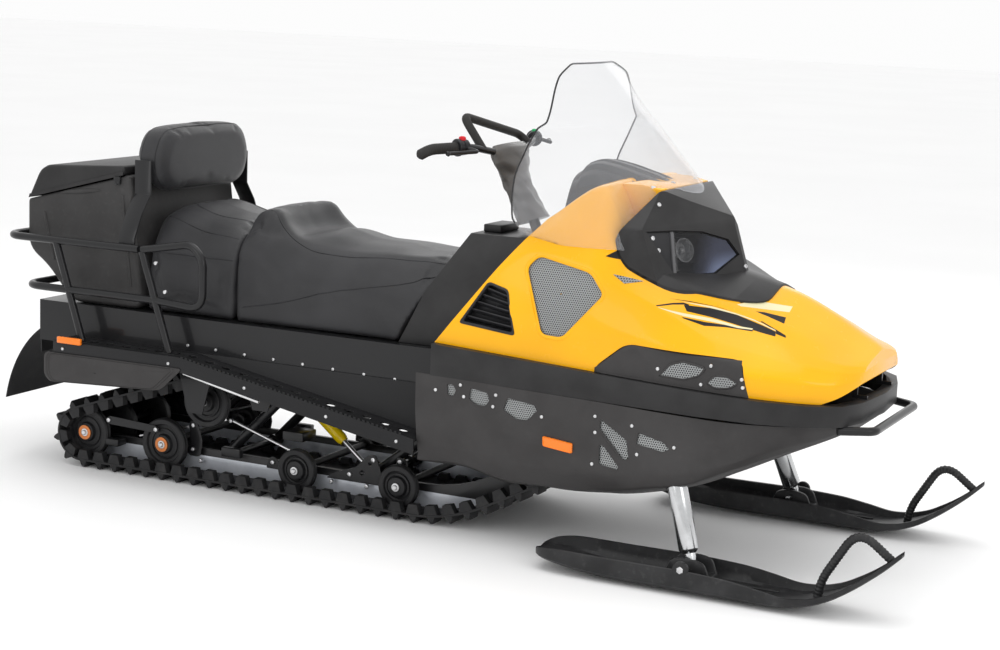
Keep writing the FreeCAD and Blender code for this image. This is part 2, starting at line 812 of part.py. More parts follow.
def make_suspension():
    """Front and rear swing arms between the tunnel's tabs and the rails."""
    low_z = n.lug_height + n.belt_thick + n.slider_height + n.rail_height / 2
    wall = n.tunnel_half - n.tunnel_wall - n.face_gap
    reach = n.rail_y - n.rail_width / 2 - n.face_gap
    arms = []
    for top_x, top_z, low_x in ((n.front_arm_top_x, n.front_arm_top_height, n.front_arm_low_x),
                                (n.rear_arm_top_x, n.rear_arm_top_height, n.rear_arm_low_x)):
        cross_top = rod((top_x, -wall, top_z), (top_x, wall, top_z), n.axle_radius)
        cross_low = rod((low_x, -reach, low_z), (low_x, reach, low_z), n.axle_radius)
        legs = [rod((top_x, y, top_z), (low_x, y, low_z), n.arm_radius) for y in (-n.arm_y, n.arm_y)]
        arms.append(cross_top.fuse([cross_low] + legs))
    feature("suspension_arms", Part.makeCompound(arms))


def make_shock():
    """Damper between the two cross shafts, an eye round each of them."""
    low_z = n.lug_height + n.belt_thick + n.slider_height + n.rail_height / 2
    start = Vector(n.rear_arm_top_x, -n.shock_y, n.rear_arm_top_height)
    end = Vector(n.front_arm_low_x, -n.shock_y, low_z)
    eye_radius = n.axle_radius + n.shock_wall
    half = n.shock_radius * 0.8
    run = Vector(end - start).normalize()
    body_start = start + run * (eye_radius + n.shock_wall)
    body_end = start + (end - start) * 0.6
    shape = rod(tuple(start), tuple(end), n.shock_rod_radius)
    shape = shape.fuse(rod(tuple(body_start), tuple(body_end), n.shock_radius))
    across = Vector(0, half, 0)
    bore_across = across + Vector(0, n.overrun, 0)
    for eye in (start, end):
        shape = shape.fuse(rod(tuple(eye - across), tuple(eye + across), eye_radius))
    for eye in (start, end):
        shape = shape.cut(rod(tuple(eye - bore_across), tuple(eye + bore_across), n.axle_radius + n.face_gap))
    feature("suspension_damper", shape)


def side_wall_corners():
    """Side view of one tunnel wall with the tabs that carry arms, idlers and drive axle."""
    rear, front = s.tunnel_rear_x, s.tunnel_front_x
    low, top = s.tunnel_low, s.tunnel_top
    foot = s.sprocket_height - s.drive_tab / 2
    corners = [(rear, low), (rear, top), (front, top), (front, foot), (s.sprocket_x - s.drive_tab, foot),
               (s.sprocket_x - s.drive_tab, low)]
    for x, z in ((s.front_arm_top_x, s.front_arm_top_height), (s.rear_arm_top_x, s.rear_arm_top_height),
                 (s.idler_x, s.idler_height)):
        foot = z - s.arm_tab_drop
        corners += [(x + s.arm_tab, low), (x + s.arm_tab_drop, foot), (x - s.arm_tab_drop, foot),
                    (x - s.arm_tab, low)]
    return corners


def make_tunnel():
    """Inverted channel over the track, with side tabs and a rear end plate."""
    half, inside = s.tunnel_half, s.tunnel_half - s.tunnel_wall
    roof = [(-half, s.tunnel_top), (half, s.tunnel_top), (half, s.tunnel_top - s.tunnel_wall),
            (-half, s.tunnel_top - s.tunnel_wall)]
    middle = (s.tunnel_rear_x + s.tunnel_front_x) / 2
    owner = new_body("tunnel")
    sketch = new_sketch(owner, "YZ_Plane", middle)
    draw_loop(sketch, roof)
    top = owner.newObject("PartDesign::Pad", "tunnel_roof")
    top.Profile = sketch
    top.Midplane = True
    bind(top, "Length", s.tunnel_front_x - s.tunnel_rear_x)
    for name, side in (("tunnel_right_wall", 1), ("tunnel_left_wall", -1)):
        sketch = new_sketch(owner, "XZ_Plane", side * (half - s.tunnel_wall / 2))
        draw_loop(sketch, side_wall_corners())
        wall = owner.newObject("PartDesign::Pad", name)
        wall.Profile = sketch
        wall.Midplane = True
        bind(wall, "Length", s.tunnel_wall)
    sketch = new_sketch(owner, "YZ_Plane", s.tunnel_rear_x + s.tunnel_wall / 2)
    high = s.tunnel_top - s.tunnel_wall
    low = s.end_plate_low
    draw_loop(sketch, [(-inside, low), (inside, low), (inside, high), (-inside, high)])
    end = owner.newObject("PartDesign::Pad", "tunnel_end")
    end.Profile = sketch
    end.Midplane = True
    bind(end, "Length", s.tunnel_wall)
    node(owner, "tunnel")


def make_boards():
    """Running boards that slope down in front, with a side wall, a turned-down lip and drain holes."""
    ends = [(s.board_rear_x, s.board_height), (s.board_bend_x, s.board_height),
            (s.board_front_x, s.board_front_height)]
    floor = ends + [(x, z - s.board_thick) for x, z in reversed(ends)]
    lip = ends + [(x, z - s.board_lip) for x, z in reversed(ends)]
    wall = [(s.board_bend_x, s.board_height - s.board_thick), (s.board_bend_x, s.board_height),
            (s.board_front_x, s.board_height), (s.board_front_x, s.board_front_height - s.board_thick)]
    for label, side in (("running_board_right", -1), ("running_board_left", 1)):
        owner = new_body(label)
        for outline, low, high in ((floor, s.tunnel_half, s.board_half),
                                   (lip, s.board_half - s.board_thick, s.board_half),
                                   (wall, s.tunnel_half, s.tunnel_half + s.board_thick)):
            sketch = new_sketch(owner, "XZ_Plane", -side * (low + high) / 2)
            draw_loop(sketch, outline)
            made = owner.newObject("PartDesign::Pad", label + "_pad")
            made.Profile = sketch
            made.Midplane = True
            bind(made, "Length", high - low)
        sketch = new_sketch(owner, "XY_Plane", s.board_height + s.overrun)
        draw_circle(sketch, (s.board_rear_x + s.board_hole_pitch, side * (s.tunnel_half + s.board_half) / 2),
                    s.board_hole_radius)
        cut = owner.newObject("PartDesign::Pocket", label + "_hole")
        cut.Profile = sketch
        bind(cut, "Length", s.board_height - s.board_front_height + s.board_thick + 2 * s.overrun)
        row = owner.newObject("PartDesign::LinearPattern", label + "_row")
        row.Originals = [cut]
        row.Direction = (sketch, ["H_Axis"])
        bind(row, "Length", s.board_front_x - s.board_rear_x - 2 * s.board_hole_pitch)
        row.Occurrences = 20
        owner.Tip = row
        node(owner, label)


def make_valances():
    """Grey side panels that hang below the rear of the running boards."""
    low = n.valance_top - n.valance_drop
    outline = [(n.valance_rear_x, n.valance_top - n.board_thick), (n.valance_front_x, n.valance_top),
               (n.valance_front_x - n.valance_slant, low + n.valance_slant / 4),
               (n.valance_rear_x + n.valance_slant / 4, low), (n.valance_rear_x, low + n.valance_slant / 4)]
    panel = side_prism(outline, n.valance_thick / 2, -n.board_half - n.valance_thick / 2)
    feature("side_valances", both_sides(panel))


def make_flap():
    """Rear mud flap, one curved sheet across the tunnel, with a slot for the hitch."""
    start, top = n.tunnel_rear_x - n.face_gap - n.flap_thick, n.flap_top_height
    drop, reach = top - n.flap_low, n.flap_reach
    rear = start - reach
    points = [(start, 0, top), (rear + reach * 0.60, 0, top - drop * 0.22),
              (rear + reach * 0.22, 0, top - drop * 0.58), (rear, 0, n.flap_low)]
    curve = Part.BSplineCurve()
    curve.interpolate([Vector(*p) for p in points])
    skin = curve.toShape().extrude(Vector(0, 2 * n.flap_half, 0))
    skin.translate(Vector(0, -n.flap_half, 0))
    solid = skin.extrude(Vector(n.flap_thick, 0, n.flap_thick / 4))
    half = n.hitch_width / 2 + n.overrun
    slot = block((rear - n.overrun, -half, n.hitch_height - n.hitch_plate - n.overrun),
                 (n.tunnel_rear_x, half, n.hitch_height + n.hitch_gap + n.hitch_plate + n.overrun))
    feature("mud_flap", solid.cut(slot))


def make_hitch():
    """Tow hitch on the tunnel's end plate: two tongues with a vertical pin hole, joined by a block."""
    front = n.tunnel_rear_x
    rear = front - n.hitch_length
    half = n.hitch_width / 2
    low, high = n.hitch_height, n.hitch_height + n.hitch_gap
    lower = block((rear, -half, low - n.hitch_plate), (front, half, low))
    upper = block((rear, -half, high), (front, half, high + n.hitch_plate))
    web = block((front - n.hitch_length / 2, -half, low), (front, half, high))
    hole_x = rear + n.hitch_hole_inset
    hole = rod((hole_x, 0, low - n.overrun - n.hitch_plate), (hole_x, 0, high + n.hitch_plate + n.overrun),
               n.hitch_hole_radius)
    feature("tow_hitch", upper.fuse([lower, web]).cut(hole).removeSplitter())


def make_lamps():
    """Amber side markers and the red tail lamp."""
    low, side = n.lamp_length / 2, n.board_half
    rear = block((n.rear_marker_x - low, -side - n.lamp_depth, n.rear_marker_height - n.lamp_height / 2),
                 (n.rear_marker_x + low, -side, n.rear_marker_height + n.lamp_height / 2))
    feature("side_markers", both_sides(rear))
    half = n.tail_lamp_width / 2
    tail = block((n.tunnel_rear_x - n.lamp_depth, -half, n.tunnel_top - 2 * n.lamp_height),
                 (n.tunnel_rear_x, half, n.tunnel_top))
    feature("tail_lamp", tail)


# Cargo rack, box and lid, backrest

def make_rack():
    """Tube rack round the cargo box: top rail, mid rail with four posts, and passenger grab loops."""
    half, bend = n.rack_half, n.rack_bend
    top = tube([(n.rack_front_x, -half, n.rack_top), (n.rack_rear_x, -half, n.rack_top),
                (n.rack_rear_x, half, n.rack_top), (n.rack_front_x, half, n.rack_top)], n.rack_radius, bend)
    feature("rack_top_rail", top)
    front = (n.post_front_foot_x + n.rack_front_x + n.rack_radius) / 2
    mid = tube([(front, -half, n.rack_mid), (n.rack_mid_rear_x, -half, n.rack_mid),
                (n.rack_mid_rear_x, half, n.rack_mid), (front, half, n.rack_mid)], n.rack_radius, bend)
    posts = []
    foot = n.board_height - n.board_thick
    ends = ((n.post_rear_foot_x, n.post_rear_top_x), (n.post_front_foot_x, n.rack_front_x + n.rack_radius))
    for side in (-1, 1):
        for foot_x, top_x in ends:
            posts.append(rod((foot_x, side * half, foot), (top_x, side * half, n.rack_top), n.rack_radius))
    boards = block((n.board_rear_x * 2, -2 * half, 0), (0, 2 * half, n.board_height))
    feature("rack_frame", mid.fuse(posts).cut([top, boards]))


def make_grab_loops():
    """Hand loops for the passenger, in front of the rack's front posts."""
    half = n.rack_half
    start = n.rack_front_x + n.rack_radius
    rise = n.rack_top + n.grab_rise
    loop = tube([(start, -half, n.rack_top), (n.grab_front_x - n.grab_bend, -half, rise),
                 (n.grab_front_x, -half, rise - n.grab_bend),
                 (n.grab_front_x, -half, n.rack_mid - n.rack_radius),
                 ((n.post_front_foot_x + start) / 2, -half, n.rack_mid)], n.rack_radius, n.grab_bend * 0.6)
    clear = n.rack_radius + n.face_gap
    corner = (start, -half, n.rack_top)
    post = rod((n.post_front_foot_x, -half, n.board_height - n.board_thick), corner, clear)
    loop = loop.cut(post.fuse(rod((n.rack_rear_x, -half, n.rack_top), corner, clear)))
    feature("grab_loops", both_sides(max(loop.Solids, key=lambda one: one.Volume)))


def lid_axis():
    """X and height of the lid's hinge pin, over the shelf at the box's front edge."""
    return n.box_front_x - n.hinge_shelf / 2, n.box_seam_front + n.lid_pin_rise


def make_box():
    """Hollow cargo tub with an open top, a sloped rear lower corner and a hinge pin on its front shelf."""
    floor = n.tunnel_top + n.face_gap
    depth = n.box_seam_rear - floor
    wall = n.box_wall
    back = n.box_front_x - n.hinge_shelf
    outline = [(n.box_rear_x, n.box_seam_rear), (n.box_rear_x, floor + depth / 2),
               (n.box_rear_x + depth / 4, floor + depth / 3), (n.box_belly_x, floor), (n.box_foot_x, floor),
               (n.box_front_x, n.box_seam_front)]
    outer = side_prism(outline + [(back, n.box_seam_front)], n.box_half)
    lift = n.overrun
    line = inset(outline, wall)
    line = [(line[0][0], line[0][1] + lift)] + line[1:-1] + [(line[-1][0], line[-1][1] + 2 * lift)]
    inner = side_prism(line, n.box_half - wall)
    shelf = block((back, -n.box_half, n.box_seam_front - wall),
                  (n.box_foot_x, n.box_half, n.box_seam_front + 3 * lift))
    tub = outer.cut(inner.cut(shelf))
    x, z = lid_axis()
    reach = n.lid_ear_y + 2 * n.hinge_ear
    pieces = [rod((x, -reach, z), (x, reach, z), n.lid_pin_radius)]
    for y in (-n.lid_ear_y - n.hinge_ear, -n.hinge_ear / 2, n.lid_ear_y):
        pieces.append(block((x - n.lid_pin_radius, y, n.box_seam_front),
                            (x + n.lid_pin_radius, y + n.hinge_ear, z)))
    feature("cargo_box", tub.fuse(pieces))


def make_lid():
    """Wedge-shaped lid, hollow inside, with two ears on the hinge pin."""
    x, z = lid_axis()
    rear, front = n.box_rear_x, n.box_front_x - n.hinge_shelf - n.face_gap
    outline = [(front, n.box_seam_front + n.face_gap), (front, n.lid_top_front),
               (rear + n.lid_rear_inset, n.lid_top_rear), (rear, n.box_seam_rear + n.face_gap)]
    outer = side_prism(outline, n.box_half)
    line = inset(outline, n.lid_wall)
    drop = n.overrun
    line = [(line[0][0], line[0][1] - drop)] + line[1:-1] + [(line[-1][0], line[-1][1] - drop)]
    shape = outer.cut(side_prism(line, n.box_half - n.lid_wall))
    radius = n.lid_pin_radius * 1.6
    for side in (-1, 1):
        y = side * (n.lid_ear_y - n.hinge_ear) - n.hinge_ear / 2
        ear = block((front - n.lid_wall, y, z - radius), (x, y + n.hinge_ear, z + radius))
        ear = ear.fuse(Part.makeCylinder(radius, n.hinge_ear, Vector(x, y, z), Vector(0, 1, 0)))
        shape = shape.fuse(ear)
    bore = rod((x, -n.box_half, z), (x, n.box_half, z), n.lid_pin_radius + n.face_gap)
    feature("cargo_lid", shape.cut(bore))


def make_backrest():
    """Passenger backrest pad and the bent steel straps that hold it."""
    rear = n.box_front_x - n.backrest_overhang
    front = rear + n.backrest_thick
    low, top = n.backrest_low, n.backrest_top
    round_off = n.backrest_thick * 0.3
    outline = [(rear, low + n.backrest_slope), (rear, top - round_off), (rear + round_off, top),
               (front - round_off, top), (front, top - round_off), (front, low + round_off),
               (front - round_off / 2, low), (rear + 2 * round_off, low)]
    feature("backrest_pad", side_prism(outline, n.backrest_half))
    start = n.backrest_half + n.face_gap
    rail = n.rack_half - n.rack_radius - n.face_gap
    high = (low + top) / 2
    rail -= n.bracket_thick
    points = [(start, high), (start, low), (start + n.bracket_thick * 8, low - n.bracket_width),
              (rail, n.rack_top + n.bracket_width / 2), (rail, n.rack_top - n.rack_radius)]
    backward = [(y + n.bracket_thick, z) for y, z in reversed(points)]
    x = n.box_front_x + n.bracket_ahead - n.bracket_width
    strip = prism([(x, -y, z) for y, z in points + backward], (n.bracket_width, 0, 0))
    feature("backrest_brackets", both_sides(strip))


# Seats and console

def seat_base():
    """Height of the underside of the seats, on the tunnel."""
    return n.tunnel_top + n.face_gap


def seat_loft(rear, front, rows, top, top_half):
    """Seat block through sections that are wide at the base and narrow at the top."""
    base = seat_base()
    sections = []
    for along, crown_share, half_share in rows:
        x = rear + along * (front - rear)
        rise = crown_share * (top - base)
        half = top_half * half_share
        right = [(-n.seat_half, base), (-n.seat_half, base + rise * 0.35),
                 (-half - (n.seat_half - half) * 0.35, base + rise * 0.88), (-half, base + rise)]
        ring = right + [(-y, z) for y, z in reversed(right)]
        sections.append([(x, y, z) for y, z in ring])
    return ring_loft(sections)


def make_seats():
    """Driver's seat and the passenger's seat behind it."""
    feature("seat_passenger", seat_loft(n.passenger_rear_x, n.seat_joint_x - n.face_gap, PASSENGER_SHARES,
                                        n.passenger_top, n.seat_top_half))
    rows = DRIVER_SHARES + [(1.0, (n.driver_dip - seat_base()) / (n.driver_top - seat_base()) * 0.97, 1.0)]
    solid = seat_loft(n.seat_joint_x + n.face_gap, n.driver_nose_x, rows, n.driver_top, n.seat_top_half)
    over = n.overrun
    nose = n.driver_nose_x - n.driver_front_x
    rise = n.driver_dip - seat_base()
    wedge = side_prism([(n.driver_front_x - over * nose / rise, seat_base() - over),
                        (n.driver_nose_x + over * nose / rise, n.driver_dip + over),
                        (n.driver_nose_x + nose, n.driver_dip + over),
                        (n.driver_nose_x + nose, seat_base() - over)], n.seat_half + over)
    feature("seat_driver", solid.cut(wedge))


def hood_edge(z, gap=0):
    """X of the hood's sloping rear edge at a height, moved back by a gap."""
    slope = (n.hood_cut_top_x - n.hood_cut_low_x) / (n.hood_cut_top_height - n.hood_cut_low_height)
    return n.hood_cut_low_x + (z - n.hood_cut_low_height) * slope - gap * math.hypot(1, slope)


def make_console():
    """Black cover between the seat and the hood, round the foot of the steering column."""
    gap = n.hood_gap
    low = seat_base()
    nose = n.driver_nose_x - n.driver_front_x
    rise = n.driver_dip - seat_base()
    foot_x = n.driver_front_x + n.face_gap * 3
    top_x = n.driver_nose_x + (n.console_top - n.driver_dip) * nose / rise + n.face_gap * 3
    sections = []
    for height, half in ((low, n.console_half), ((low + n.console_top) / 2, n.console_half * 0.92),
                         (n.console_top, n.console_top_half)):
        share = (height - low) / (n.console_top - low)
        back = foot_x + share * (top_x - foot_x)
        front = hood_edge(height, gap)
        sections.append([(back, -half, height), (front, -half, height), (front, half, height),
                         (back, half, height)])
    solid = ring_loft(sections)
    solid = solid.cut(column_rod(n.column_radius + n.face_gap, -n.column_length, n.column_length))
    feature("console", solid)


# Body tub, rim and engine

def belly_solid(wall):
    """Body tub as a solid through its sections, moved inward by a wall."""
    sections = []
    last = len(BELLY_SHARES) - 1
    for i, (along, rows) in enumerate(BELLY_SHARES):
        x = n.belly_rear_x + along * n.belly_length
        half = [(n.body_half * y, n.body_low + n.body_depth * z) for y, z in rows]
        if wall:
            half = [(-y, z) for y, z in inset([(-y, z) for y, z in half], wall)]
            half = [(half[0][0], half[0][1] + n.overrun)] + half[1:]
            x -= n.overrun if i == 0 else wall if i == last else 0
        right = [(x, -y, z) for y, z in half]
        left = [(x, y, z) for y, z in reversed(half)]
        sections.append(right + left)
    return ring_loft(sections)


def make_belly():
    """Body tub in three pieces: a side panel each side of the track and the pan ahead of it."""
    shell = belly_solid(0).cut(belly_solid(n.body_wall))
    low, high = n.body_low - n.body_depth, n.body_low + 2 * n.body_depth
    board_end = n.board_front_x + n.face_gap
    slope = side_prism([(n.belly_rear_x - n.overrun, low), (n.belly_rear_x, n.body_low),
                        (board_end, n.board_front_height - n.board_lip), (board_end, high),
                        (n.belly_rear_x - n.body_depth, high), (n.belly_rear_x - n.body_depth, low)],
                       n.body_half * 2)
    shell = shell.cut(slope)
    well = n.tunnel_half + n.face_gap
    front_x = n.sprocket_x + n.sprocket_radius + n.belt_thick + n.lug_height + n.well_gap
    far = n.belly_rear_x + n.belly_length + n.overrun
    sleeve_end = n.sleeve_start + n.sleeve_length + n.face_gap
    sleeve = rod(leg_point(0), leg_point(sleeve_end), n.sleeve_radius + n.face_gap)
    shell = shell.cut([sleeve, mirrored(sleeve)])
    feature("belly_pan", shell.common(block((front_x, -well, low), (far, well, high))))
    right = shell.cut(block((n.belly_rear_x - n.body_depth, -well, low), (far, n.body_half * 2, high)))
    right = max(right.Solids, key=lambda one: one.Volume)
    feature("belly_right", right)
    feature("belly_left", mirrored(right))


def rim_outline(inward):
    """Plan outline of the rim's outer line, moved inward, from the right rear to the left rear."""
    length = n.rim_front_x - n.rim_rear_x
    right = [(n.rim_rear_x + along * length, -n.body_half * half) for along, half in RIM_PLAN_SHARES]
    nose = [(n.rim_front_x, 0)]
    left = [(x, -y) for x, y in reversed(right)]
    line = right + nose + left
    return inset(line, inward) if inward else line


def make_rim():
    """Black bumper band round the body, deeper at the rear than at the nose."""
    low, high = n.body_low, n.hood_low + n.hood_height
    outer, inner = rim_outline(0), rim_outline(n.rim_band)
    rear_x = inner[0][0] - n.overrun
    inner = [(rear_x, inner[0][1])] + inner[1:-1] + [(rear_x, inner[-1][1])]
    band = prism([(x, y, low) for x, y in outer], (0, 0, high - low))
    band = band.cut(prism([(x, y, low - n.overrun) for x, y in inner], (0, 0, high - low + 2 * n.overrun)))
    over = n.overrun
    side = [(n.rim_rear_x - over, n.rim_low_rear), (n.rim_front_x + over, n.rim_low_front),
            (n.rim_front_x + over, n.rim_top_front), (n.rim_rear_x - over, n.rim_top_rear)]
    band = band.common(side_prism(side, n.body_half + over))
    band = band.cut(belly_solid(0))
    keep = max(band.Solids, key=lambda one: one.Volume)
    feature("bumper_rim", keep)


def rim_low_at(x):
    """Height of the rim's underside at a place along the machine."""
    rear, front = n.rim_rear_x - n.overrun, n.rim_front_x + n.overrun
    return n.rim_low_rear + (x - rear) / (front - rear) * (n.rim_low_front - n.rim_low_rear)


def make_nose_tube():
    """Tubular front bumper below the rim."""
    half = n.nose_tube_half
    back = n.nose_tube_rear_x
    z = rim_low_at(back + 2 * n.nose_tube_radius) - n.nose_tube_radius - n.face_gap
    front, narrow = n.nose_tube_front_x, half * 0.8
    shape = tube([(back, -half, z), (front, -narrow, z), (front, narrow, z), (back, half, z)],
                 n.nose_tube_radius, n.rim_band)
    feature("front_bumper_tube", shape)


def make_engine():
    """Engine and drive as one plain block in the engine bay."""
    made = doc.addObject("Part::Box", "engine_block")
    bind(made, "Length", s.engine_length)
    bind(made, "Width", s.engine_width)
    bind(made, "Height", s.engine_height)
    place(made, s.tunnel_front_x + s.face_gap, -s.engine_width / 2, s.engine_base)
    node(made, "engine_block")


def make_cluster():
    """Dash display standing on the console."""
    made = doc.addObject("Part::Box", "dash_cluster")
    bind(made, "Length", s.cluster_length)
    bind(made, "Width", s.cluster_width)
    bind(made, "Height", s.cluster_height)
    place(made, s.cluster_x, -s.cluster_width / 2, s.console_top + s.face_gap)
    node(made, "dash_cluster")


# Hood with its lamp housing, windshield and dash cover

def hood_solid(wall):
    """Hood as a solid through its sections, moved inward by a wall."""
    sections = []
    last = len(HOOD_SHARES) - 1
    for i, (along, rows) in enumerate(HOOD_SHARES):
        x = n.hood_rear_x + along * n.hood_length
        half = [(n.hood_half * y, n.hood_low + n.hood_height * z) for y, z in rows]
        if wall:
            half = inset(half, wall)
            half = half[:-1] + [(0, half[-1][1])]
            half = [(half[0][0], half[0][1] - n.overrun)] + half[1:]
            if i == 0:
                x -= n.overrun
            if i == last:
                x -= wall
        right = [(x, -y, z) for y, z in half]
        left = [(x, y, z) for y, z in reversed(half[:-1])]
        sections.append(right + left)
    return ring_loft(sections)


def hood_points(shares):
    """Side view points from shares of the hood's length and height."""
    return [(n.hood_rear_x + a * n.hood_length, n.hood_low + b * n.hood_height) for a, b in shares]


def pod_solid():
    """Lamp housing where its side outline, its plan outline and its front outline meet."""
    side = side_prism(hood_points(POD_SIDE_SHARES), n.pod_half + n.overrun)
    plan = [(n.hood_rear_x + a * n.hood_length, n.pod_half * b) for a, b in POD_PLAN_SHARES]
    ring = [(x, -y) for x, y in plan] + [(x, y) for x, y in reversed(plan)]
    column = prism([(x, y, n.hood_low) for x, y in ring], (0, 0, 2 * n.hood_height))
    front = [(n.pod_half * a, n.hood_low + b * n.hood_height) for a, b in POD_FRONT_SHARES]
    ring = [(-y, z) for y, z in front] + [(y, z) for y, z in reversed(front)]
    return side.common(column).common(prism([(n.hood_rear_x, y, z) for y, z in ring], (n.hood_length, 0, 0)))


def rear_wedge():
    """Everything behind the hood's sloping rear edge."""
    low, high = n.hood_low - n.hood_height, n.hood_low + 2 * n.hood_height
    far = n.hood_rear_x - n.hood_length
    outline = [(hood_edge(low), low), (hood_edge(high), high), (far, high), (far, low)]
    return side_prism(outline, n.hood_half * 2)


def cowl_solid():
    """Dash cover between its side outline, as wide as the cover."""
    return side_prism(hood_points(COWL_SIDE_SHARES), n.cowl_half)


def window(shares):
    """Cutter for an opening in both sides of the hood."""
    return side_prism(hood_points(shares), n.hood_half * 2)


def make_hood():
    """Yellow hood shell with its windows, on which lamp housing, dash cover and windshield sit."""
    outer = hood_solid(0)
    full = outer.cut(rear_wedge())
    shell = full.cut(hood_solid(n.hood_wall))
    pod = pod_solid()
    cowl = cowl_solid()
    lift = 2 * n.face_gap
    rim_line = side_prism([(n.hood_rear_x - n.overrun, n.body_low), (n.rim_front_x + n.overrun, n.body_low),
                           (n.rim_front_x + n.overrun, n.rim_top_front + lift),
                           (n.hood_rear_x - n.overrun, n.rim_top_rear + lift)], n.hood_half * 2)
    body = shell.cut([pod, rim_line])
    mesh_cut, vent_cut = window(MESH_WINDOW_SHARES), window(VENT_WINDOW_SHARES)
    body = body.cut([mesh_cut, vent_cut, window(WHEEL_ARCH_SHARES)])
    body = max(body.Solids, key=lambda one: one.Volume)
    feature("hood_shell", body.fuse(hinge_ears(full)))
    thin = full.cut(hood_solid(n.mesh_thick))
    insets = thin.common(mesh_cut).fuse(thin.common(vent_cut))
    feature("hood_side_meshes", Part.makeCompound(insets.Solids))
    arch = side_prism(inset(hood_points(WHEEL_ARCH_SHARES)[::-1], n.arch_gap), n.hood_half * 2)
    panels = full.cut([hood_solid(n.hood_wall), rim_line]).common(arch)
    feature("arch_panels", Part.makeCompound(sorted(panels.Solids, key=lambda one: one.Volume)[-2:]))
    lamp = side_prism(hood_points(LAMP_WINDOW_SHARES), n.pod_half + n.overrun)
    feature("headlight_housing", pod.cut(lamp))
    feature("headlight_lens", lamp.common(pod))
    cowl = cowl.common(shield_loft(n.shield_thick + n.cowl_gap, True)).cut([full, pod])
    feature("dash_cowl", max(cowl.Solids, key=lambda one: one.Volume))
    return full, pod


def shield_arc(row, inward):
    """Arc of the windshield at one level: right edge, middle, left edge."""
    height, half_share, edge, middle = row
    z = n.shield_low + height * n.shield_rise
    half = n.shield_half * half_share
    edge_x = n.shield_rear_x + edge * n.shield_depth
    middle_x = n.shield_rear_x + middle * n.shield_depth
    bow = middle_x - edge_x
    radius = (bow * bow + half * half) / (2 * bow)
    centre = middle_x - radius
    reach = math.atan2(half, edge_x - centre)
    return [Vector(centre + (radius - inward) * math.cos(a), (radius - inward) * math.sin(a), z)
            for a in (-reach, 0, reach)]


def shield_loft(inward, filled):
    """Windshield as a bent sheet, or the whole space behind it."""
    wires = []
    for row in SHIELD_SHARES:
        outer = shield_arc(row, inward if filled else 0)
        if filled:
            edges = [Part.Arc(*outer).toShape(), Part.LineSegment(outer[2], outer[0]).toShape()]
        else:
            inner = shield_arc(row, inward)
            edges = [Part.Arc(*outer).toShape(), Part.LineSegment(outer[2], inner[2]).toShape(),
                     Part.Arc(*reversed(inner)).toShape(), Part.LineSegment(inner[0], outer[0]).toShape()]
        wires.append(Part.Wire(edges))
    return Part.makeLoft(wires, True, True)


def make_windshield(full, pod):
    """Clear windshield, a bent sheet that stands on the hood's upper edges."""
    sheet_solid = shield_loft(n.shield_thick, False).cut([full, pod])
    feature("windshield", max(sheet_solid.Solids, key=lambda one: one.Volume))


def hinge_ears(full):
    """Two ears inside the hood's nose that turn on the hinge pin."""
    x, z, reach = n.hood_pivot_x, n.hood_pivot_height, n.hinge_ear_radius
    ears = []
    for side in (-1, 1):
        y = side * n.hinge_y - n.hinge_ear / 2
        plate = block((x, y, z - reach), (x + n.hood_length, y + n.hinge_ear, z + reach)).common(full)
        disc = Part.makeCylinder(reach, n.hinge_ear, Vector(x, y, z), Vector(0, 1, 0))
        hole = Part.makeCylinder(n.hinge_pin_radius + n.face_gap, n.hinge_ear + 2 * n.overrun,
                                 Vector(x, y - n.overrun, z), Vector(0, 1, 0))
        ears.append(plate.fuse(disc).cut(hole))
    return ears


def make_hinge():
    """Hinge pin of the hood on two posts that stand on the rim."""
    x, z = n.hood_pivot_x, n.hood_pivot_height
    reach = n.hinge_y + n.hinge_ear * 3
    pin = rod((x, -reach, z), (x, reach, z), n.hinge_pin_radius)
    posts = []
    half = n.hinge_pin_radius * 1.15
    foot = rim_top_at(x) + n.hinge_ear
    for side in (-1, 1):
        y = side * (n.hinge_y + n.hinge_ear * 2) - n.hinge_ear / 2
        posts.append(block((x - half, y, n.body_low), (x + half, y + n.hinge_ear, z)))
        posts.append(block((x - half, y, n.body_low),
                           (n.rim_front_x - n.rim_band / 2, y + n.hinge_ear, foot)))
    far, high = n.rim_front_x * 2, n.rim_top_rear * 2
    outline = [(n.rim_rear_x, n.rim_top_rear), (far, rim_top_at(far)), (far, high), (n.rim_rear_x, high)]
    above = side_prism(outline, reach * 2)
    feature("hood_hinge", pin.fuse([post.common(above) for post in posts]))


def rim_top_at(x):
    """Height of the rim's top at a place along the machine."""
    rear, front = n.rim_rear_x - n.overrun, n.rim_front_x + n.overrun
    return n.rim_top_rear + (x - rear) / (front - rear) * (n.rim_top_front - n.rim_top_rear)


# Handlebar

def steer_axis():
    """Unit vector up along the steering column."""
    lean_back = math.radians(n.steer_lean)
    return Vector(-math.sin(lean_back), 0, math.cos(lean_back))


def steer_point(up, ahead=0, y=0):
    """Point at a distance up the column's axis and ahead of it."""
    axis = steer_axis()
    forward = Vector(axis.z, 0, -axis.x)
    spot = Vector(n.steer_x, y, n.steer_height) + axis * up + forward * ahead
    return (spot.x, spot.y, spot.z)


def column_rod(radius, low, high):
    """Round bar on the column's axis between two heights."""
    return rod(steer_point(low), steer_point(high), radius)


def ellipse_ring(up, depth, half):
    """Oval wire square to the column, at a distance up it."""
    axis = steer_axis()
    centre = Vector(*steer_point(up))
    oval = Part.Ellipse(centre + Vector(0, half, 0), centre + Vector(axis.z, 0, -axis.x) * depth, centre)
    return Part.Wire([oval.toShape()])


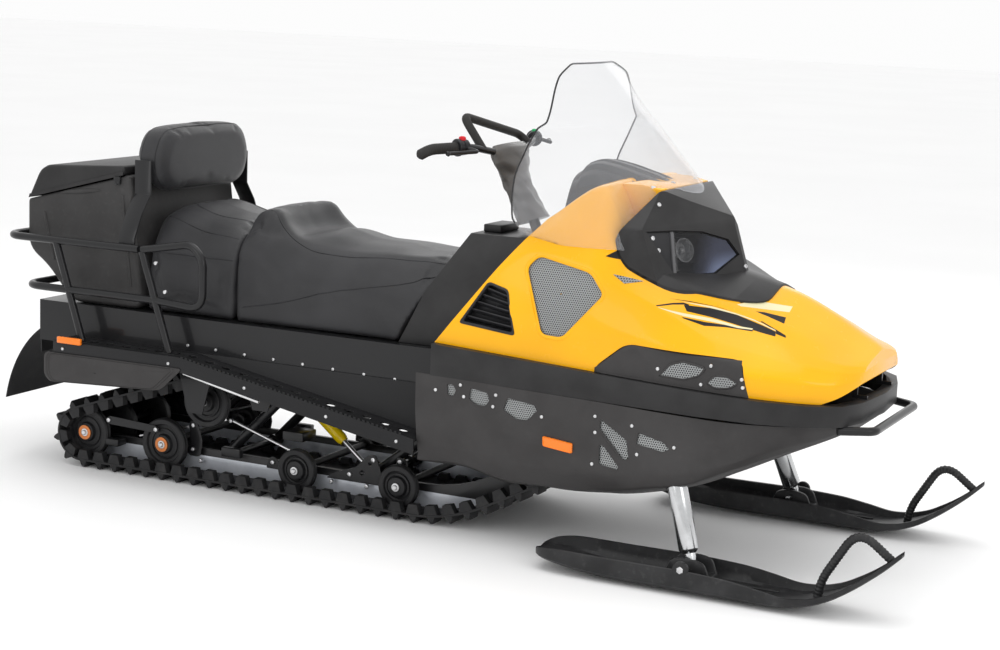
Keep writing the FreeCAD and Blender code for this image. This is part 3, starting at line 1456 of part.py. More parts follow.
def make_handlebar():
    """Column, bar, grips, switch blocks with levers, and the hand loop over the middle."""
    top = n.column_length
    feature("steering_column", column_rod(n.column_radius, -n.column_drop, top - n.bar_radius - n.face_gap))
    rings = [ellipse_ring(n.cover_low + n.cover_length * along, n.cover_depth * depth, n.cover_half * half)
             for along, depth, half in COVER_SHARES]
    cover = Part.makeLoft(rings, True, False)
    feature("steering_cover", cover.cut(column_rod(n.column_radius + n.face_gap, -n.column_drop, 2 * top)))
    end = steer_point(top + n.bar_rise, -n.bar_sweep, -n.bar_half)
    elbow = steer_point(top + n.elbow_rise, -n.elbow_sweep, -n.elbow_half)
    right = [end, elbow, steer_point(top, 0, -n.clamp_half)]
    left = [(x, -y, z) for x, y, z in reversed(right)]
    feature("handlebar_tube", tube(right + left, n.bar_radius, n.bar_bend))
    unit = (Vector(*elbow) - Vector(*end)).normalize()
    hook = Vector(*end) + Vector(-n.hook_reach, -n.hook_reach, -n.hook_drop)
    finish = Vector(*end) + unit * n.grip_length
    switch_start = finish + unit * n.face_gap * 3
    switch_end = switch_start + unit * n.switch_length
    bar = rod(end, tuple(switch_end + unit * n.overrun), n.bar_radius)
    grip = tube([tuple(hook), end, tuple(finish)], n.grip_radius, n.hook_bend).cut(bar)
    feature("hand_grips", both_sides(grip))
    lever_from = switch_start + unit * n.switch_length / 2 + Vector(n.grip_radius, 0, 0)
    lever_bend = lever_from + Vector(n.lever_reach, 0, -n.lever_drop)
    lever_tip = lever_bend - unit * n.lever_length
    lever = tube([tuple(lever_from), tuple(lever_bend), tuple(lever_tip)], n.lever_radius, n.lever_bend)
    switch = rod(tuple(switch_start), tuple(switch_end), n.grip_radius * 1.5).fuse(lever).cut(bar)
    feature("switch_blocks", both_sides(max(switch.Solids, key=lambda one: one.Volume)))
    feature("grab_loop", hand_loop(top, right[1], right[2]))


def hand_loop(top, elbow, clamp):
    """Padded loop from one side of the bar to the other, high on the right, with saddles on the bar."""
    share = (n.loop_half - n.clamp_half) / (n.elbow_half - n.clamp_half)
    foot = Vector(*clamp) + (Vector(*elbow) - Vector(*clamp)) * share
    path = [tuple(foot), steer_point(top + n.loop_rise, -n.loop_lean, -n.loop_half),
            steer_point(top + n.loop_far_rise, -n.loop_far_lean, n.loop_far_half), (foot.x, -foot.y, foot.z)]
    bar = rod(elbow, clamp, n.bar_radius + n.face_gap)
    shape = tube(path, n.loop_radius, n.loop_bend).cut([bar, mirrored(bar)])
    return max(shape.Solids, key=lambda one: one.Volume)


# Front suspension and skis

def leg_axis():
    """Unit vector up along the right front leg."""
    back, inward = math.tan(math.radians(n.leg_lean_back)), math.tan(math.radians(n.leg_lean_in))
    return Vector(-back, inward, 1).normalize()


def leg_point(up):
    """Point on the right leg's axis at a distance up from the ski pivot."""
    spot = Vector(n.ski_pivot_x, -n.stance / 2, n.ski_pivot_height) + leg_axis() * up
    return (spot.x, spot.y, spot.z)


def make_legs():
    """Outer strut tubes fixed in the body, and the chrome legs that turn in them."""
    sleeve = rod(leg_point(n.sleeve_start), leg_point(n.sleeve_start + n.sleeve_length), n.sleeve_radius)
    bore = rod(leg_point(n.sleeve_start - n.overrun), leg_point(n.leg_start + n.leg_length + n.face_gap),
               n.leg_radius + n.face_gap)
    feature("strut_sleeves", both_sides(sleeve.cut(bore)))
    px, pz, middle = n.ski_pivot_x, n.ski_pivot_height, -n.stance / 2
    leg = rod(leg_point(n.leg_start), leg_point(n.leg_start + n.leg_length), n.leg_radius)
    foot = rod(leg_point(0), leg_point(n.leg_start), n.foot_radius)
    half = n.ski_width * 0.4
    bolt = rod((px, middle - half, pz), (px, middle + half, pz), n.ski_bolt_radius)
    shape = leg.fuse([foot, bolt])
    feature("ski_leg_right", shape)
    feature("ski_leg_left", mirrored(shape))


def ski_line(lift):
    """Side outline of the ski's underside from the tail to the tip, lifted."""
    tip_x = n.overall_length / 2
    low = n.runner_radius * 2
    bend_x, run, rise = n.ski_flat_front_x, tip_x - n.ski_flat_front_x, n.ski_tip_height - low
    return [(n.ski_tail_x, n.ski_tail_height + lift), (n.ski_flat_rear_x, low + lift), (bend_x, low + lift),
            (bend_x + run * 0.4, low + lift + rise * 0.17), (bend_x + run * 0.75, low + lift + rise * 0.55),
            (tip_x, n.ski_tip_height - n.ski_wall * 1.2 + lift * 0.5)]


def make_ski():
    """Trough-shaped ski with a saddle for the leg, a steel runner and a hand loop."""
    middle = -n.stance / 2
    half = n.ski_width / 2
    base = ski_line(0)
    plate = side_prism(base + ski_line(n.ski_wall)[::-1], half, middle)
    rim = [(x, z + n.ski_side) for x, z in base[1:-2][::-1]]
    wall_outline = base[:-1] + [(base[-2][0], base[-2][1] + n.ski_wall * 2)] + rim
    wall_outline.append((base[0][0], base[0][1] + n.ski_wall))
    thick = n.ski_wall / 2
    walls = [side_prism(wall_outline, thick, middle + side * (half - thick)) for side in (-1, 1)]
    px, pz = n.ski_pivot_x, n.ski_pivot_height
    length = n.saddle_length / 2
    top = pz + n.ski_bolt_radius * 2
    foot = base[1][1]
    outline = [(px - length, foot), (px - length / 2, top), (px + length / 2, top), (px + length, foot)]
    saddle = side_prism(outline, n.saddle_width / 2, middle)
    inside = n.saddle_width / 2 - n.ski_wall
    slot = block((px - length, middle - inside, pz - n.ski_bolt_radius * 3),
                 (px + length, middle + inside, top + n.overrun))
    shape = plate.fuse(walls + [saddle.cut(slot)]).removeSplitter()
    keel = rod((base[1][0], middle, n.runner_radius), (base[2][0], middle, n.runner_radius), n.runner_radius)
    tip_x = base[-1][0]
    rear_x = tip_x - n.handle_rear_back
    handle = tube([(rear_x, middle, base[2][1]), (rear_x + n.ski_wall, middle, n.ski_side + 3 * n.ski_wall),
                   (tip_x - n.handle_top_back, middle, n.handle_top_height),
                   (tip_x - 2 * n.ski_wall, middle, n.ski_tip_height - 3 * n.ski_wall)],
                  n.handle_radius, n.handle_bend)
    handle = handle.cut(shape)
    handle = max(handle.Solids, key=lambda one: one.Volume)
    bolt = rod((px, middle - half, pz), (px, middle + half, pz), n.ski_bolt_radius + n.face_gap)
    for side, turn in (("right", lambda x: x), ("left", mirrored)):
        feature(f"ski_{side}", turn(shape.cut(bolt)))
        feature(f"ski_runner_{side}", turn(keel))
        feature(f"ski_handle_{side}", turn(handle))


make_track()
make_wheels()
make_rails()
make_suspension()
make_shock()
make_tunnel()
make_boards()
make_valances()
make_flap()
make_hitch()
make_lamps()
make_rack()
make_grab_loops()
make_box()
make_lid()
make_backrest()
make_seats()
make_console()
make_belly()
make_rim()
make_nose_tube()
make_engine()
make_cluster()
make_windshield(*make_hood())
make_hinge()
make_handlebar()
make_legs()
make_ski()
doc.recompute()

for item in doc.Objects:
    wrong = [word for word in item.State if word in ("Invalid", "Error")]
    if wrong:
        raise ValueError(f"{item.Label} is {wrong}")
os.makedirs("parts", exist_ok=True)
for item in NODES:
    if item.Shape.isNull() or not item.Shape.isValid() or not item.Shape.Solids:
        raise ValueError(f"{item.Label} has no valid solid")
    item.Shape.exportStep(f"parts/{item.Label}.step")
    print(item.Label, len(item.Shape.Solids), round(item.Shape.Volume))
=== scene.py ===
"""Wide-track utility snowmobile: finished surfaces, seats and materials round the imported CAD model."""

import json
import math

import bmesh
import bpy
import numpy as np
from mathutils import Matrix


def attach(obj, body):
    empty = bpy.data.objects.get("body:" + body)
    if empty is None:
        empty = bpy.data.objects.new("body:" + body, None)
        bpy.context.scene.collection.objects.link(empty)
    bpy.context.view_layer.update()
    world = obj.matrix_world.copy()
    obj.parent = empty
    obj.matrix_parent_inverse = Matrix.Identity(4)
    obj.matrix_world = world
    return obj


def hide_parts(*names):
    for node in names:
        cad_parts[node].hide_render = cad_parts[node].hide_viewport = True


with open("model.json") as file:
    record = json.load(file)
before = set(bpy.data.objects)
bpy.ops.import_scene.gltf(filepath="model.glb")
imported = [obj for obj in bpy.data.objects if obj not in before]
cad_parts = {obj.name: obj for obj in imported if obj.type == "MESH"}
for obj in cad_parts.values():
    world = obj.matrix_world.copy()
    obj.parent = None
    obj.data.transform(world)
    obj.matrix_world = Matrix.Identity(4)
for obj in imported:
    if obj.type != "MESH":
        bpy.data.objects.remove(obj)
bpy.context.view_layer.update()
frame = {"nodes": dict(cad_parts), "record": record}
nodes = frame["nodes"]


# Shader nodes

class Wire:
    """A socket whose sums, products and comparisons add Math nodes to its tree."""

    def __init__(self, finish, socket):
        self.finish, self.socket = finish, socket

    def maths(self, operation, *values):
        return self.finish.add("ShaderNodeMath", {"operation": operation}, dict(enumerate(values)))

    def fraction(self):
        return self.maths("FRACT", self)

    def step(self, low, high):
        """0 below low, 1 above high and smooth between them."""
        return self.finish.add("ShaderNodeMapRange", {"interpolation_type": "SMOOTHSTEP"},
                               {"Value": self, "From Min": low, "From Max": high})

    def spread(self, low, high):
        """A 0 to 1 value moved to the range from low to high."""
        return self * (high - low) + low


for sign, operation in {"add": "ADD", "sub": "SUBTRACT", "mul": "MULTIPLY", "truediv": "DIVIDE"}.items():
    setattr(Wire, f"__{sign}__", lambda self, other, kind=operation: self.maths(kind, self, other))
    setattr(Wire, f"__r{sign}__", lambda self, other, kind=operation: self.maths(kind, other, self))
Wire.__abs__ = lambda self: self.maths("ABSOLUTE", self)


class Finish:
    """A material round one Principled shader, with nodes added by one method."""

    def __init__(self, name, **constants):
        self.material = bpy.data.materials.new(name)
        self.material.use_nodes = True
        self.tree = self.material.node_tree
        self.shader = self.tree.nodes["Principled BSDF"]
        self.set(**constants)
        self.place = self.add("ShaderNodeTexCoord", {}, {}, "Object")

    def add(self, kind, settings, values, out=0):
        """Adds a node, sets its settings, then fills its sockets with values or wires."""
        node = self.tree.nodes.new(kind)
        for key, value in settings.items():
            setattr(node, key, value)
        for key, value in values.items():
            self.feed(node.inputs[key], value)
        return Wire(self, node.outputs[out])

    def feed(self, socket, value):
        if isinstance(value, Wire):
            self.tree.links.new(value.socket, socket)
        else:
            socket.default_value = value

    def set(self, **values):
        for key, value in values.items():
            self.feed(self.shader.inputs[key.replace("_", " ")], value)

    def noise(self, scale, detail=3.0, place=None):
        values = {"Vector": place or self.place, "Scale": scale, "Detail": detail, "Roughness": 0.55}
        return self.add("ShaderNodeTexNoise", {}, values)

    def axes(self):
        split = self.add("ShaderNodeSeparateXYZ", {}, {"Vector": self.place}).socket.node
        return [Wire(self, axis) for axis in split.outputs]

    def drawn(self):
        """Fine lines along X."""
        stretched = self.add("ShaderNodeMapping", {}, {"Vector": self.place, "Scale": (4.0, 900.0, 900.0)})
        return self.noise(1.0, 4.0, stretched)

    def mix(self, factor, first, second):
        """Colour that goes from first to second as factor rises."""
        return self.add("ShaderNodeMix", {"data_type": "RGBA"}, {0: factor, 6: first, 7: second}, 2)

    def bump(self, height, distance, strength=1.0, **after):
        values = {"Height": height, "Distance": distance, "Strength": strength, **after}
        return self.add("ShaderNodeBump", {}, values)


def tone(colour, factor=1.0, lift=0.0):
    """Opaque colour, brightened by a factor and a lift."""
    return tuple(min(1.0, c * factor + lift) for c in colour) + (1.0,)


def moulded(name, colour, roughness, grain=1400.0, depth=0.00012, tint=0.25, dust=0.0):
    """Moulded plastic: fine pebble grain, faint flow marks in the colour and a little dust in the open."""
    f = Finish(name, Specular_IOR_Level=0.28)
    flow, fine = f.noise(9.0, 5.0), f.noise(grain, 2.0)
    base = f.mix(flow.step(0.3, 0.7), tone(colour, 1 - tint), tone(colour, 1 + tint, 0.006))
    if dust:
        base = f.mix(f.noise(60.0, 6.0).step(0.52, 0.75) * dust, base, tone((0.35, 0.34, 0.33)))
    f.set(Base_Color=base, Roughness=flow.spread(roughness - 0.06, roughness + 0.08) + fine * 0.05,
          Normal=f.bump(fine, depth))
    return f.material


def painted(name, colour, roughness, depth=0.00005, **coat):
    """Paint or gloss plastic: a clear coat over a slightly uneven base."""
    f = Finish(name, Specular_IOR_Level=0.22, **coat)
    scuff = f.noise(35.0, 8.0).step(0.62, 0.80)
    f.set(Base_Color=f.mix(f.noise(3.0, 2.0).step(0.3, 0.7), tone(colour, 0.93), tone(colour, 1.03)),
          Roughness=scuff.spread(roughness, roughness + 0.14), Normal=f.bump(f.noise(420.0, 2.0), depth))
    return f.material


def metal(name, colour, roughness, depth=0.00004):
    """Bare metal with a drawn grain along X and cloudy roughness."""
    f = Finish(name, Metallic=1.0)
    drawn, cloud = f.drawn(), f.noise(14.0, 5.0)
    f.set(Base_Color=f.mix(cloud.step(0.25, 0.8), tone(colour, 0.72), tone(colour)),
          Roughness=cloud.spread(roughness - 0.05, roughness + 0.15) + drawn * 0.06, Normal=f.bump(drawn, depth))
    return f.material


def vinyl(name, colour, roughness):
    """Seat vinyl: small leather cells with fine pores, creased a little and shinier where it is worn."""
    f = Finish(name, Sheen_Weight=0.04, Specular_IOR_Level=0.35)
    cells = f.add("ShaderNodeTexVoronoi", {"feature": "DISTANCE_TO_EDGE"}, {"Vector": f.place, "Scale": 620.0},
                  "Distance")
    worn = f.noise(4.5, 3.0)
    creases = f.bump(f.noise(26.0, 6.0), 0.0012, 0.35)
    f.set(Base_Color=f.mix(worn.step(0.3, 0.7), tone(colour, 0.8), tone(colour, 1.25)),
          Roughness=worn.spread(roughness - 0.07, roughness + 0.09),
          Normal=f.bump(cells.step(0.0, 0.28) * 0.7 + f.noise(1900.0, 2.0) * 0.3, 0.00022, 0.8, Normal=creases))
    return f.material


def rubber(name, colour, roughness, mud):
    """Moulded rubber: dull and dark with a dusty bloom and fine flow lines."""
    f = Finish(name, Specular_IOR_Level=0.3)
    bloom, fine = f.noise(22.0, 7.0), f.noise(700.0, 3.0)
    f.set(Base_Color=f.mix(bloom.step(0.42, 0.8) * mud, tone(colour), tone((0.22, 0.21, 0.20))),
          Roughness=bloom.spread(roughness - 0.1, roughness + 0.12), Normal=f.bump(fine + bloom * 0.6, 0.0003))
    return f.material


def punched(name, colour, pitch):
    """Thin metal mesh: staggered holes in a grey sheet, painted near black as the shade seen through them, read in
    the side view.
    """
    f = Finish(name, Metallic=0.35)
    x, y, z = f.axes()
    row = z / (pitch * 0.866)
    shift = ((row - row.fraction()) * 0.5).fraction()
    across, along = abs((x / pitch + shift).fraction() - 0.5), abs(row.fraction() - 0.5)
    hole = 1 - (across * across + along * along * 0.75).step(0.060, 0.115)
    # painted shade: each hole takes the near black of the dark inside that would show through it
    f.set(Base_Color=f.mix(hole, tone(colour), tone(NEAR_BLACK)),
          Roughness=hole * 0.4 + 0.4 * f.noise(30.0, 4.0).spread(0.85, 1.1),
          Normal=f.bump(1 - hole, 0.0004))
    return f.material


def clear(name, tint, alpha):
    """Clear sheet that closes a little where it is seen edge on."""
    f = Finish(name, Roughness=0.03, IOR=1.49)
    edge = f.add("ShaderNodeLayerWeight", {}, {"Blend": 0.35}, "Facing")
    haze = f.noise(5.0, 4.0)
    f.set(Base_Color=f.mix(haze.step(0.3, 0.7), tone(tint), tone(tint, 0.92)),
          Alpha=edge * edge * 0.35 + alpha + haze * 0.01)
    return f.material


def lamp_glass(name):
    """Smoked lens: nearly clear over the lamp, closing to a dark blue tint towards the nose, where a painted blue
    grey highlight lightens its lower part.
    """
    f = Finish(name, Roughness=0.05, IOR=1.5)
    x, y, z = f.axes()
    cloud = f.noise(7.0, 3.0) * 0.02
    front = (x + cloud).step(0.835, 0.885)
    # painted highlight: the lens colour turns a lighter blue grey low on the nose, its edge wavered by the cloud
    # noise
    painted_highlight = (1 - (z + cloud).step(0.868, 0.935)) * x.step(0.85, 0.89)
    nose = f.mix(painted_highlight, tone((0.020, 0.024, 0.048)), tone((0.13, 0.16, 0.26)))
    f.set(Base_Color=f.mix(front, tone((0.012, 0.012, 0.014)), nose), Alpha=front.spread(0.38, 0.94))
    return f.material


def rail_finish(name):
    """Slide rail: satin silver strip below, black coated above its upper edge, with drawn lines."""
    f = Finish(name)
    x, y, z = f.axes()
    drawn, cloud, high = f.drawn(), f.noise(14.0, 5.0), z.step(0.0800, 0.0812)
    silver = f.mix(cloud.step(0.25, 0.8), tone((0.66, 0.69, 0.75)), tone((0.84, 0.87, 0.93)))
    f.set(Base_Color=f.mix(high, silver, tone(NEAR_BLACK)), Metallic=(1 - high) * 0.45,
          Roughness=cloud.spread(0.26, 0.42) + drawn * 0.06, Normal=f.bump(drawn, 0.00004))
    return f.material


NEAR_BLACK = (0.012, 0.012, 0.013)
GREY_PLASTIC = moulded("grained grey plastic", (0.034, 0.032, 0.032), 0.42, tint=0.06, dust=0.01)
DARK_PLASTIC = moulded("grained black plastic", (0.017, 0.0165, 0.017), 0.38, tint=0.10)
BAR_PLASTIC = moulded("light grey plastic", (0.11, 0.11, 0.115), 0.4, tint=0.08)
SATIN_PLASTIC = moulded("satin black plastic", (0.016, 0.016, 0.018), 0.30, depth=0.00005)
BOX_PLASTIC = moulded("box plastic", (0.030, 0.029, 0.029), 0.46, grain=1000.0, depth=0.0002, tint=0.08, dust=0.03)
SKI_PLASTIC = moulded("ski plastic", (0.018, 0.018, 0.019), 0.36, depth=0.00006, dust=0.06)
HOOD_YELLOW = painted("yellow gloss shell", (0.95, 0.45, 0.0004), 0.26, Coat_Weight=0.22, Coat_Roughness=0.05)
BLACK_PAINT = painted("black powder coat", NEAR_BLACK, 0.30, depth=0.00012, Coat_Weight=0.25)
BOARD_PAINT = painted("black board coat", (0.014, 0.014, 0.015), 0.36, depth=0.0002)
DAMPER_PAINT = painted("yellow damper paint", (0.93, 0.66, 0.004), 0.25, Coat_Weight=0.5)
# black film for the printed stripes, and also the painted shade of the scoop opening behind the lamp housing
BLACK_STRIPE_AND_SHADE_FILM = painted("black stripe and painted shade film", (0.012, 0.011, 0.012), 0.28)
STRIPE_PALE = painted("pale stripe film", (0.80, 0.74, 0.46), 0.30)
AMBER = painted("amber lens", (0.95, 0.22, 0.01), 0.15, depth=0.0003, Coat_Weight=0.6)
RED_BUTTON = painted("red button", (0.62, 0.01, 0.02), 0.3)
GREEN_BUTTON = painted("green button", (0.02, 0.35, 0.12), 0.3)
RED_LENS = painted("red lens", (0.45, 0.01, 0.01), 0.15, depth=0.0003, Coat_Weight=0.6)
SEAT_VINYL = vinyl("black seat vinyl", (0.022, 0.022, 0.024), 0.38)
COVER_VINYL = vinyl("grey cover vinyl", (0.085, 0.080, 0.076), 0.24)
TRACK_RUBBER = rubber("track rubber", (0.015, 0.015, 0.016), 0.60, 0.10)
TYRE_RUBBER = rubber("wheel rubber", NEAR_BLACK, 0.45, 0.05)
FLAP_RUBBER = rubber("flap rubber", (0.010, 0.010, 0.011), 0.6, 0.06)
GRIP_RUBBER = rubber("grip rubber", (0.020, 0.019, 0.018), 0.62, 0.05)
RAIL_METAL = rail_finish("satin rail metal")
STEEL = metal("zinc steel", (0.78, 0.78, 0.79), 0.28)
CHROME = metal("polished chrome", (0.70, 0.71, 0.72), 0.12, depth=0.00001)
CAST_METAL = metal("cast engine metal", (0.18, 0.18, 0.19), 0.55)
COPPER = metal("copper cap", (0.70, 0.25, 0.09), 0.35)
MESH_METAL = punched("punched grey mesh", (0.30, 0.31, 0.31), 0.0072)
SHIELD_CLEAR = clear("clear windshield", (0.62, 0.63, 0.66), 0.10)
LENS_CLEAR = lamp_glass("smoked lamp lens")

CAD_FINISH = {
    TRACK_RUBBER: "track",
    TYRE_RUBBER: "rear_axle_wheels rail_wheels upper_idler_wheels drive_axle",
    RAIL_METAL: "slide_rails",
    BLACK_PAINT: "suspension_arms tow_hitch rack_top_rail rack_frame grab_loops backrest_brackets "
                 "front_bumper_tube hood_hinge steering_column handlebar_tube tunnel",
    DAMPER_PAINT: "suspension_damper",
    BOARD_PAINT: "running_board_right running_board_left",
    GREY_PLASTIC: "side_valances belly_pan belly_right belly_left arch_panels",
    FLAP_RUBBER: "mud_flap",
    AMBER: "side_markers",
    RED_LENS: "tail_lamp",
    BOX_PLASTIC: "cargo_box cargo_lid",
    SEAT_VINYL: "backrest_pad seat_passenger seat_driver",
    DARK_PLASTIC: "console dash_cowl headlight_housing switch_blocks dash_cluster bumper_rim",
    SATIN_PLASTIC: "strut_sleeves",
    CAST_METAL: "engine_block",
    HOOD_YELLOW: "hood_shell",
    MESH_METAL: "hood_side_meshes",
    LENS_CLEAR: "headlight_lens",
    SHIELD_CLEAR: "windshield",
    GRIP_RUBBER: "hand_grips grab_loop",
    COVER_VINYL: "steering_cover",
    CHROME: "ski_leg_right ski_leg_left",
    SKI_PLASTIC: "ski_right ski_left ski_handle_right ski_handle_left",
    STEEL: "ski_runner_right ski_runner_left",
}
for material, names in CAD_FINISH.items():
    for name in names.split():
        nodes[name].data.materials.clear()
        nodes[name].data.materials.append(material)


# Camera, lights and floor

def linked(name, data):
    """New object in the scene."""
    piece = bpy.data.objects.new(name, data)
    bpy.context.scene.collection.objects.link(piece)
    return piece


def aimed(name, data, place, right, up, back):
    """Camera or lamp at a place, turned by its three directions."""
    matrix = np.eye(4)
    matrix[:3] = np.stack([right, up, back, place], 1)
    piece = linked(name, data)
    piece.matrix_world = matrix.T.tolist()
    return piece


def photo_camera():
    """Camera from its azimuth, elevation and roll."""
    azimuth, elevation, roll = (math.radians(a) for a in (25.78, 9.69, 2.21))
    back = np.array([math.sin(azimuth) * math.cos(elevation), -math.cos(azimuth) * math.cos(elevation),
                     math.sin(elevation)])
    right = np.array([math.cos(azimuth), math.sin(azimuth), 0.0])
    up = np.cross(back, right)
    data = bpy.data.cameras.new("photo camera")
    data.sensor_width = 36.0
    data.lens = 73.75
    bpy.context.scene.camera = aimed("photo camera", data, (2.9163, -5.7750, 1.6985),
                                     right * math.cos(roll) + up * math.sin(roll),
                                     up * math.cos(roll) - right * math.sin(roll), back)


def soft_light(name, place, aim, size, power):
    """Square area lamp at a place, facing a point."""
    data = bpy.data.lights.new(name, "AREA")
    data.size = size
    data.energy = power
    back = np.array(place, float) - aim
    back /= np.linalg.norm(back)
    right = np.cross((0.0, 0.0, 1.0), back)
    right /= np.linalg.norm(right)
    aimed(name, data, place, right, np.cross(back, right), back)


def studio():
    """Pale floor and even light from above, the camera's side and behind."""
    world = bpy.data.worlds.new("pale studio")
    world.use_nodes = True
    sky = world.node_tree.nodes["Background"].inputs
    sky["Color"].default_value = (1.0, 1.0, 1.0, 1.0)
    sky["Strength"].default_value = 0.98
    bpy.context.scene.world = world
    soft_light("top panel", (0.3, -0.6, 4.6), (0.0, 0.0, 0.4), 4.0, 60)
    soft_light("near panel", (-1.5, -5.5, 2.4), (0.0, 0.0, 0.5), 2.4, 30)
    soft_light("nose panel", (5.0, -2.2, 2.6), (0.6, 0.0, 0.5), 2.0, 26)
    soft_light("back panel", (-1.0, 5.0, 3.2), (0.0, 0.0, 0.6), 3.0, 25)
    corners = np.array([(-40, -40, 0), (40, -40, 0), (40, 40, 0), (-40, 40, 0)], float)
    floor = surface("floor", corners, [(0, 1, 2, 3)], smooth=False)
    f = Finish("pale floor", Roughness=0.75)
    f.set(Base_Color=f.mix(f.noise(0.6, 3.0).step(0.3, 0.7), tone((0.96, 0.96, 0.96)), tone((0.98, 0.98, 0.98))))
    floor.data.materials.append(f.material)


# Surfaces

def surface(name, points, faces, smooth=True):
    """Mesh object from an array of points and faces of equal size."""
    points = np.asarray(points, float).reshape(-1, 3)
    faces = np.asarray(faces, int)
    mesh = bpy.data.meshes.new(name)
    mesh.vertices.add(len(points))
    mesh.vertices.foreach_set("co", points.ravel())
    sides = faces.shape[1]
    mesh.loops.add(faces.size)
    mesh.loops.foreach_set("vertex_index", faces.ravel())
    mesh.polygons.add(len(faces))
    mesh.polygons.foreach_set("loop_start", np.arange(len(faces)) * sides)
    mesh.polygons.foreach_set("use_smooth", np.full(len(faces), smooth))
    mesh.update(calc_edges=True)
    mesh.validate()
    return linked(name, mesh)


def quads(rows, columns, around=False, along=False):
    """Faces of a grid of rows by columns, joined round the columns or the rows where asked."""
    r = np.arange(rows if along else rows - 1)[:, None]
    c = np.arange(columns if around else columns - 1)[None, :]
    r2, c2 = (r + 1) % rows, (c + 1) % columns
    return np.stack([r * columns + c, r * columns + c2, r2 * columns + c2, r2 * columns + c], -1).reshape(-1, 4)


def skin(name, grid, around=False, along=False, caps=False):
    """Surface through a grid of points; caps close the first and last row with a fan about its middle."""
    grid = np.asarray(grid, float)
    rows, columns = grid.shape[:2]
    points = grid.reshape(-1, 3)
    faces = quads(rows, columns, around, along)
    if not caps:
        return surface(name, points, faces)
    count = rows * columns
    piece = surface(name, np.vstack([points, grid[0].mean(0), grid[-1].mean(0)]), faces)
    c = np.arange(columns)
    c2, last = (c + 1) % columns, count - columns
    low = np.stack([np.full(columns, count), c2, c], -1)
    high = np.stack([np.full(columns, count + 1), last + c, last + c2], -1)
    add_triangles(piece, np.vstack([low, high]))
    return piece


def add_triangles(piece, triangles):
    """Adds triangles between points that the mesh already has."""
    mesh = piece.data
    count, loops = len(mesh.polygons), len(mesh.loops)
    mesh.loops.add(triangles.size)
    mesh.polygons.add(len(triangles))
    index = np.empty(len(mesh.loops), np.int32)
    mesh.loops.foreach_get("vertex_index", index)
    index[loops:] = triangles.ravel()
    mesh.loops.foreach_set("vertex_index", index)
    start = np.empty(len(mesh.polygons), np.int32)
    mesh.polygons.foreach_get("loop_start", start)
    start[count:] = loops + 3 * np.arange(len(triangles))
    mesh.polygons.foreach_set("loop_start", start)
    mesh.polygons.foreach_set("use_smooth", np.full(len(mesh.polygons), True))
    mesh.update(calc_edges=True)
    mesh.validate()


def bake(piece):
    """Applies every modifier of a piece to its mesh."""
    ready = piece.evaluated_get(bpy.context.evaluated_depsgraph_get())
    mesh = bpy.data.meshes.new_from_object(ready)
    old = piece.data
    piece.modifiers.clear()
    piece.data = mesh
    bpy.data.meshes.remove(old)
    return piece


def modify(piece, kind, **settings):
    """Adds a modifier with its settings and applies it."""
    step = piece.modifiers.new(kind.title(), kind)
    for key, value in settings.items():
        setattr(step, key, value)
    return bake(piece)


def bevelled(piece, width, segments, angle, **settings):
    """Rounds the edges sharper than an angle."""
    return modify(piece, "BEVEL", width=width, segments=segments, limit_method="ANGLE",
                  angle_limit=math.radians(angle), **settings)


def reshaped(piece, work):
    """Runs bmesh work on a piece's mesh."""
    shape = bmesh.new()
    shape.from_mesh(piece.data)
    work(shape)
    shape.to_mesh(piece.data)
    shape.free()
    return piece


def outward(piece):
    """Joins doubled points and turns the faces of a closed piece outwards."""
    def work(shape):
        bmesh.ops.remove_doubles(shape, verts=shape.verts, dist=0.00002)
        bmesh.ops.recalc_face_normals(shape, faces=shape.faces)
    return reshaped(piece, work)


def closed_skin(name, grid, along=False):
    """Closed piece: a skin joined round its columns, and round its rows or capped at both ends."""
    return outward(skin(name, grid, around=True, along=along, caps=not along))


def show(piece, material, body, slot, *replaced, angle=40):
    """Smooths a piece but for sharp edges, gives it material and body, and hides the nodes it stands for; its slot
    argument is not used.
    """
    piece.data.shade_smooth()
    piece.data.set_sharp_from_angle(angle=math.radians(angle))
    piece.data.materials.clear()
    piece.data.materials.append(material)
    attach(piece, body)
    if replaced:
        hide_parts(*replaced)
    return piece


def show_both(piece, material, body, slot, *replaced, angle=40):
    """Shows a right-hand piece and its mirror image; {} in a body or node stands for the side."""
    twin = mirrored(piece, piece.name.replace("right", "left"))
    for one, side in ((piece, "right"), (twin, "left")):
        show(one, material, body.format(side), slot, *(node.format(side) for node in replaced), angle=angle)


def edged(node, material, body, slot, width):
    """Copy of a flat-sided CAD node with its doubles merged and its edges rounded."""
    def work(shape):
        bmesh.ops.remove_doubles(shape, verts=shape.verts, dist=0.00002)
        bmesh.ops.dissolve_limit(shape, angle_limit=math.radians(1.0), verts=shape.verts, edges=shape.edges)
    piece = reshaped(linked(node + "_edged", nodes[node].data.copy()), work)
    show(bevelled(piece, width, 2, 35, use_clamp_overlap=True), material, body, slot, node, angle=32)


def glide(knots, values, places):
    """Monotone cubic through values at knots, read at places; it never overshoots between two knots."""
    knots, values, places = (np.asarray(a, float) for a in (knots, values, places))
    step = np.diff(knots)
    shape = (-1,) + (1,) * (values.ndim - 1)
    slope = np.diff(values, axis=0) / step.reshape(shape)
    inner = np.where(slope[:-1] * slope[1:] > 0,
                     2 * slope[:-1] * slope[1:] / np.where(slope[:-1] + slope[1:] == 0, 1, slope[:-1] + slope[1:]),
                     0)
    tangent = np.concatenate([slope[:1], inner, slope[-1:]])
    i = np.clip(np.searchsorted(knots, places, side="right") - 1, 0, len(knots) - 2)
    t = ((places - knots[i]) / step[i]).reshape(shape)
    h = step[i].reshape(shape)
    return ((2 * t ** 3 - 3 * t ** 2 + 1) * values[i] + (t ** 3 - 2 * t ** 2 + t) * h * tangent[i]
            + (3 * t ** 2 - 2 * t ** 3) * values[i + 1] + (t ** 3 - t ** 2) * h * tangent[i + 1])


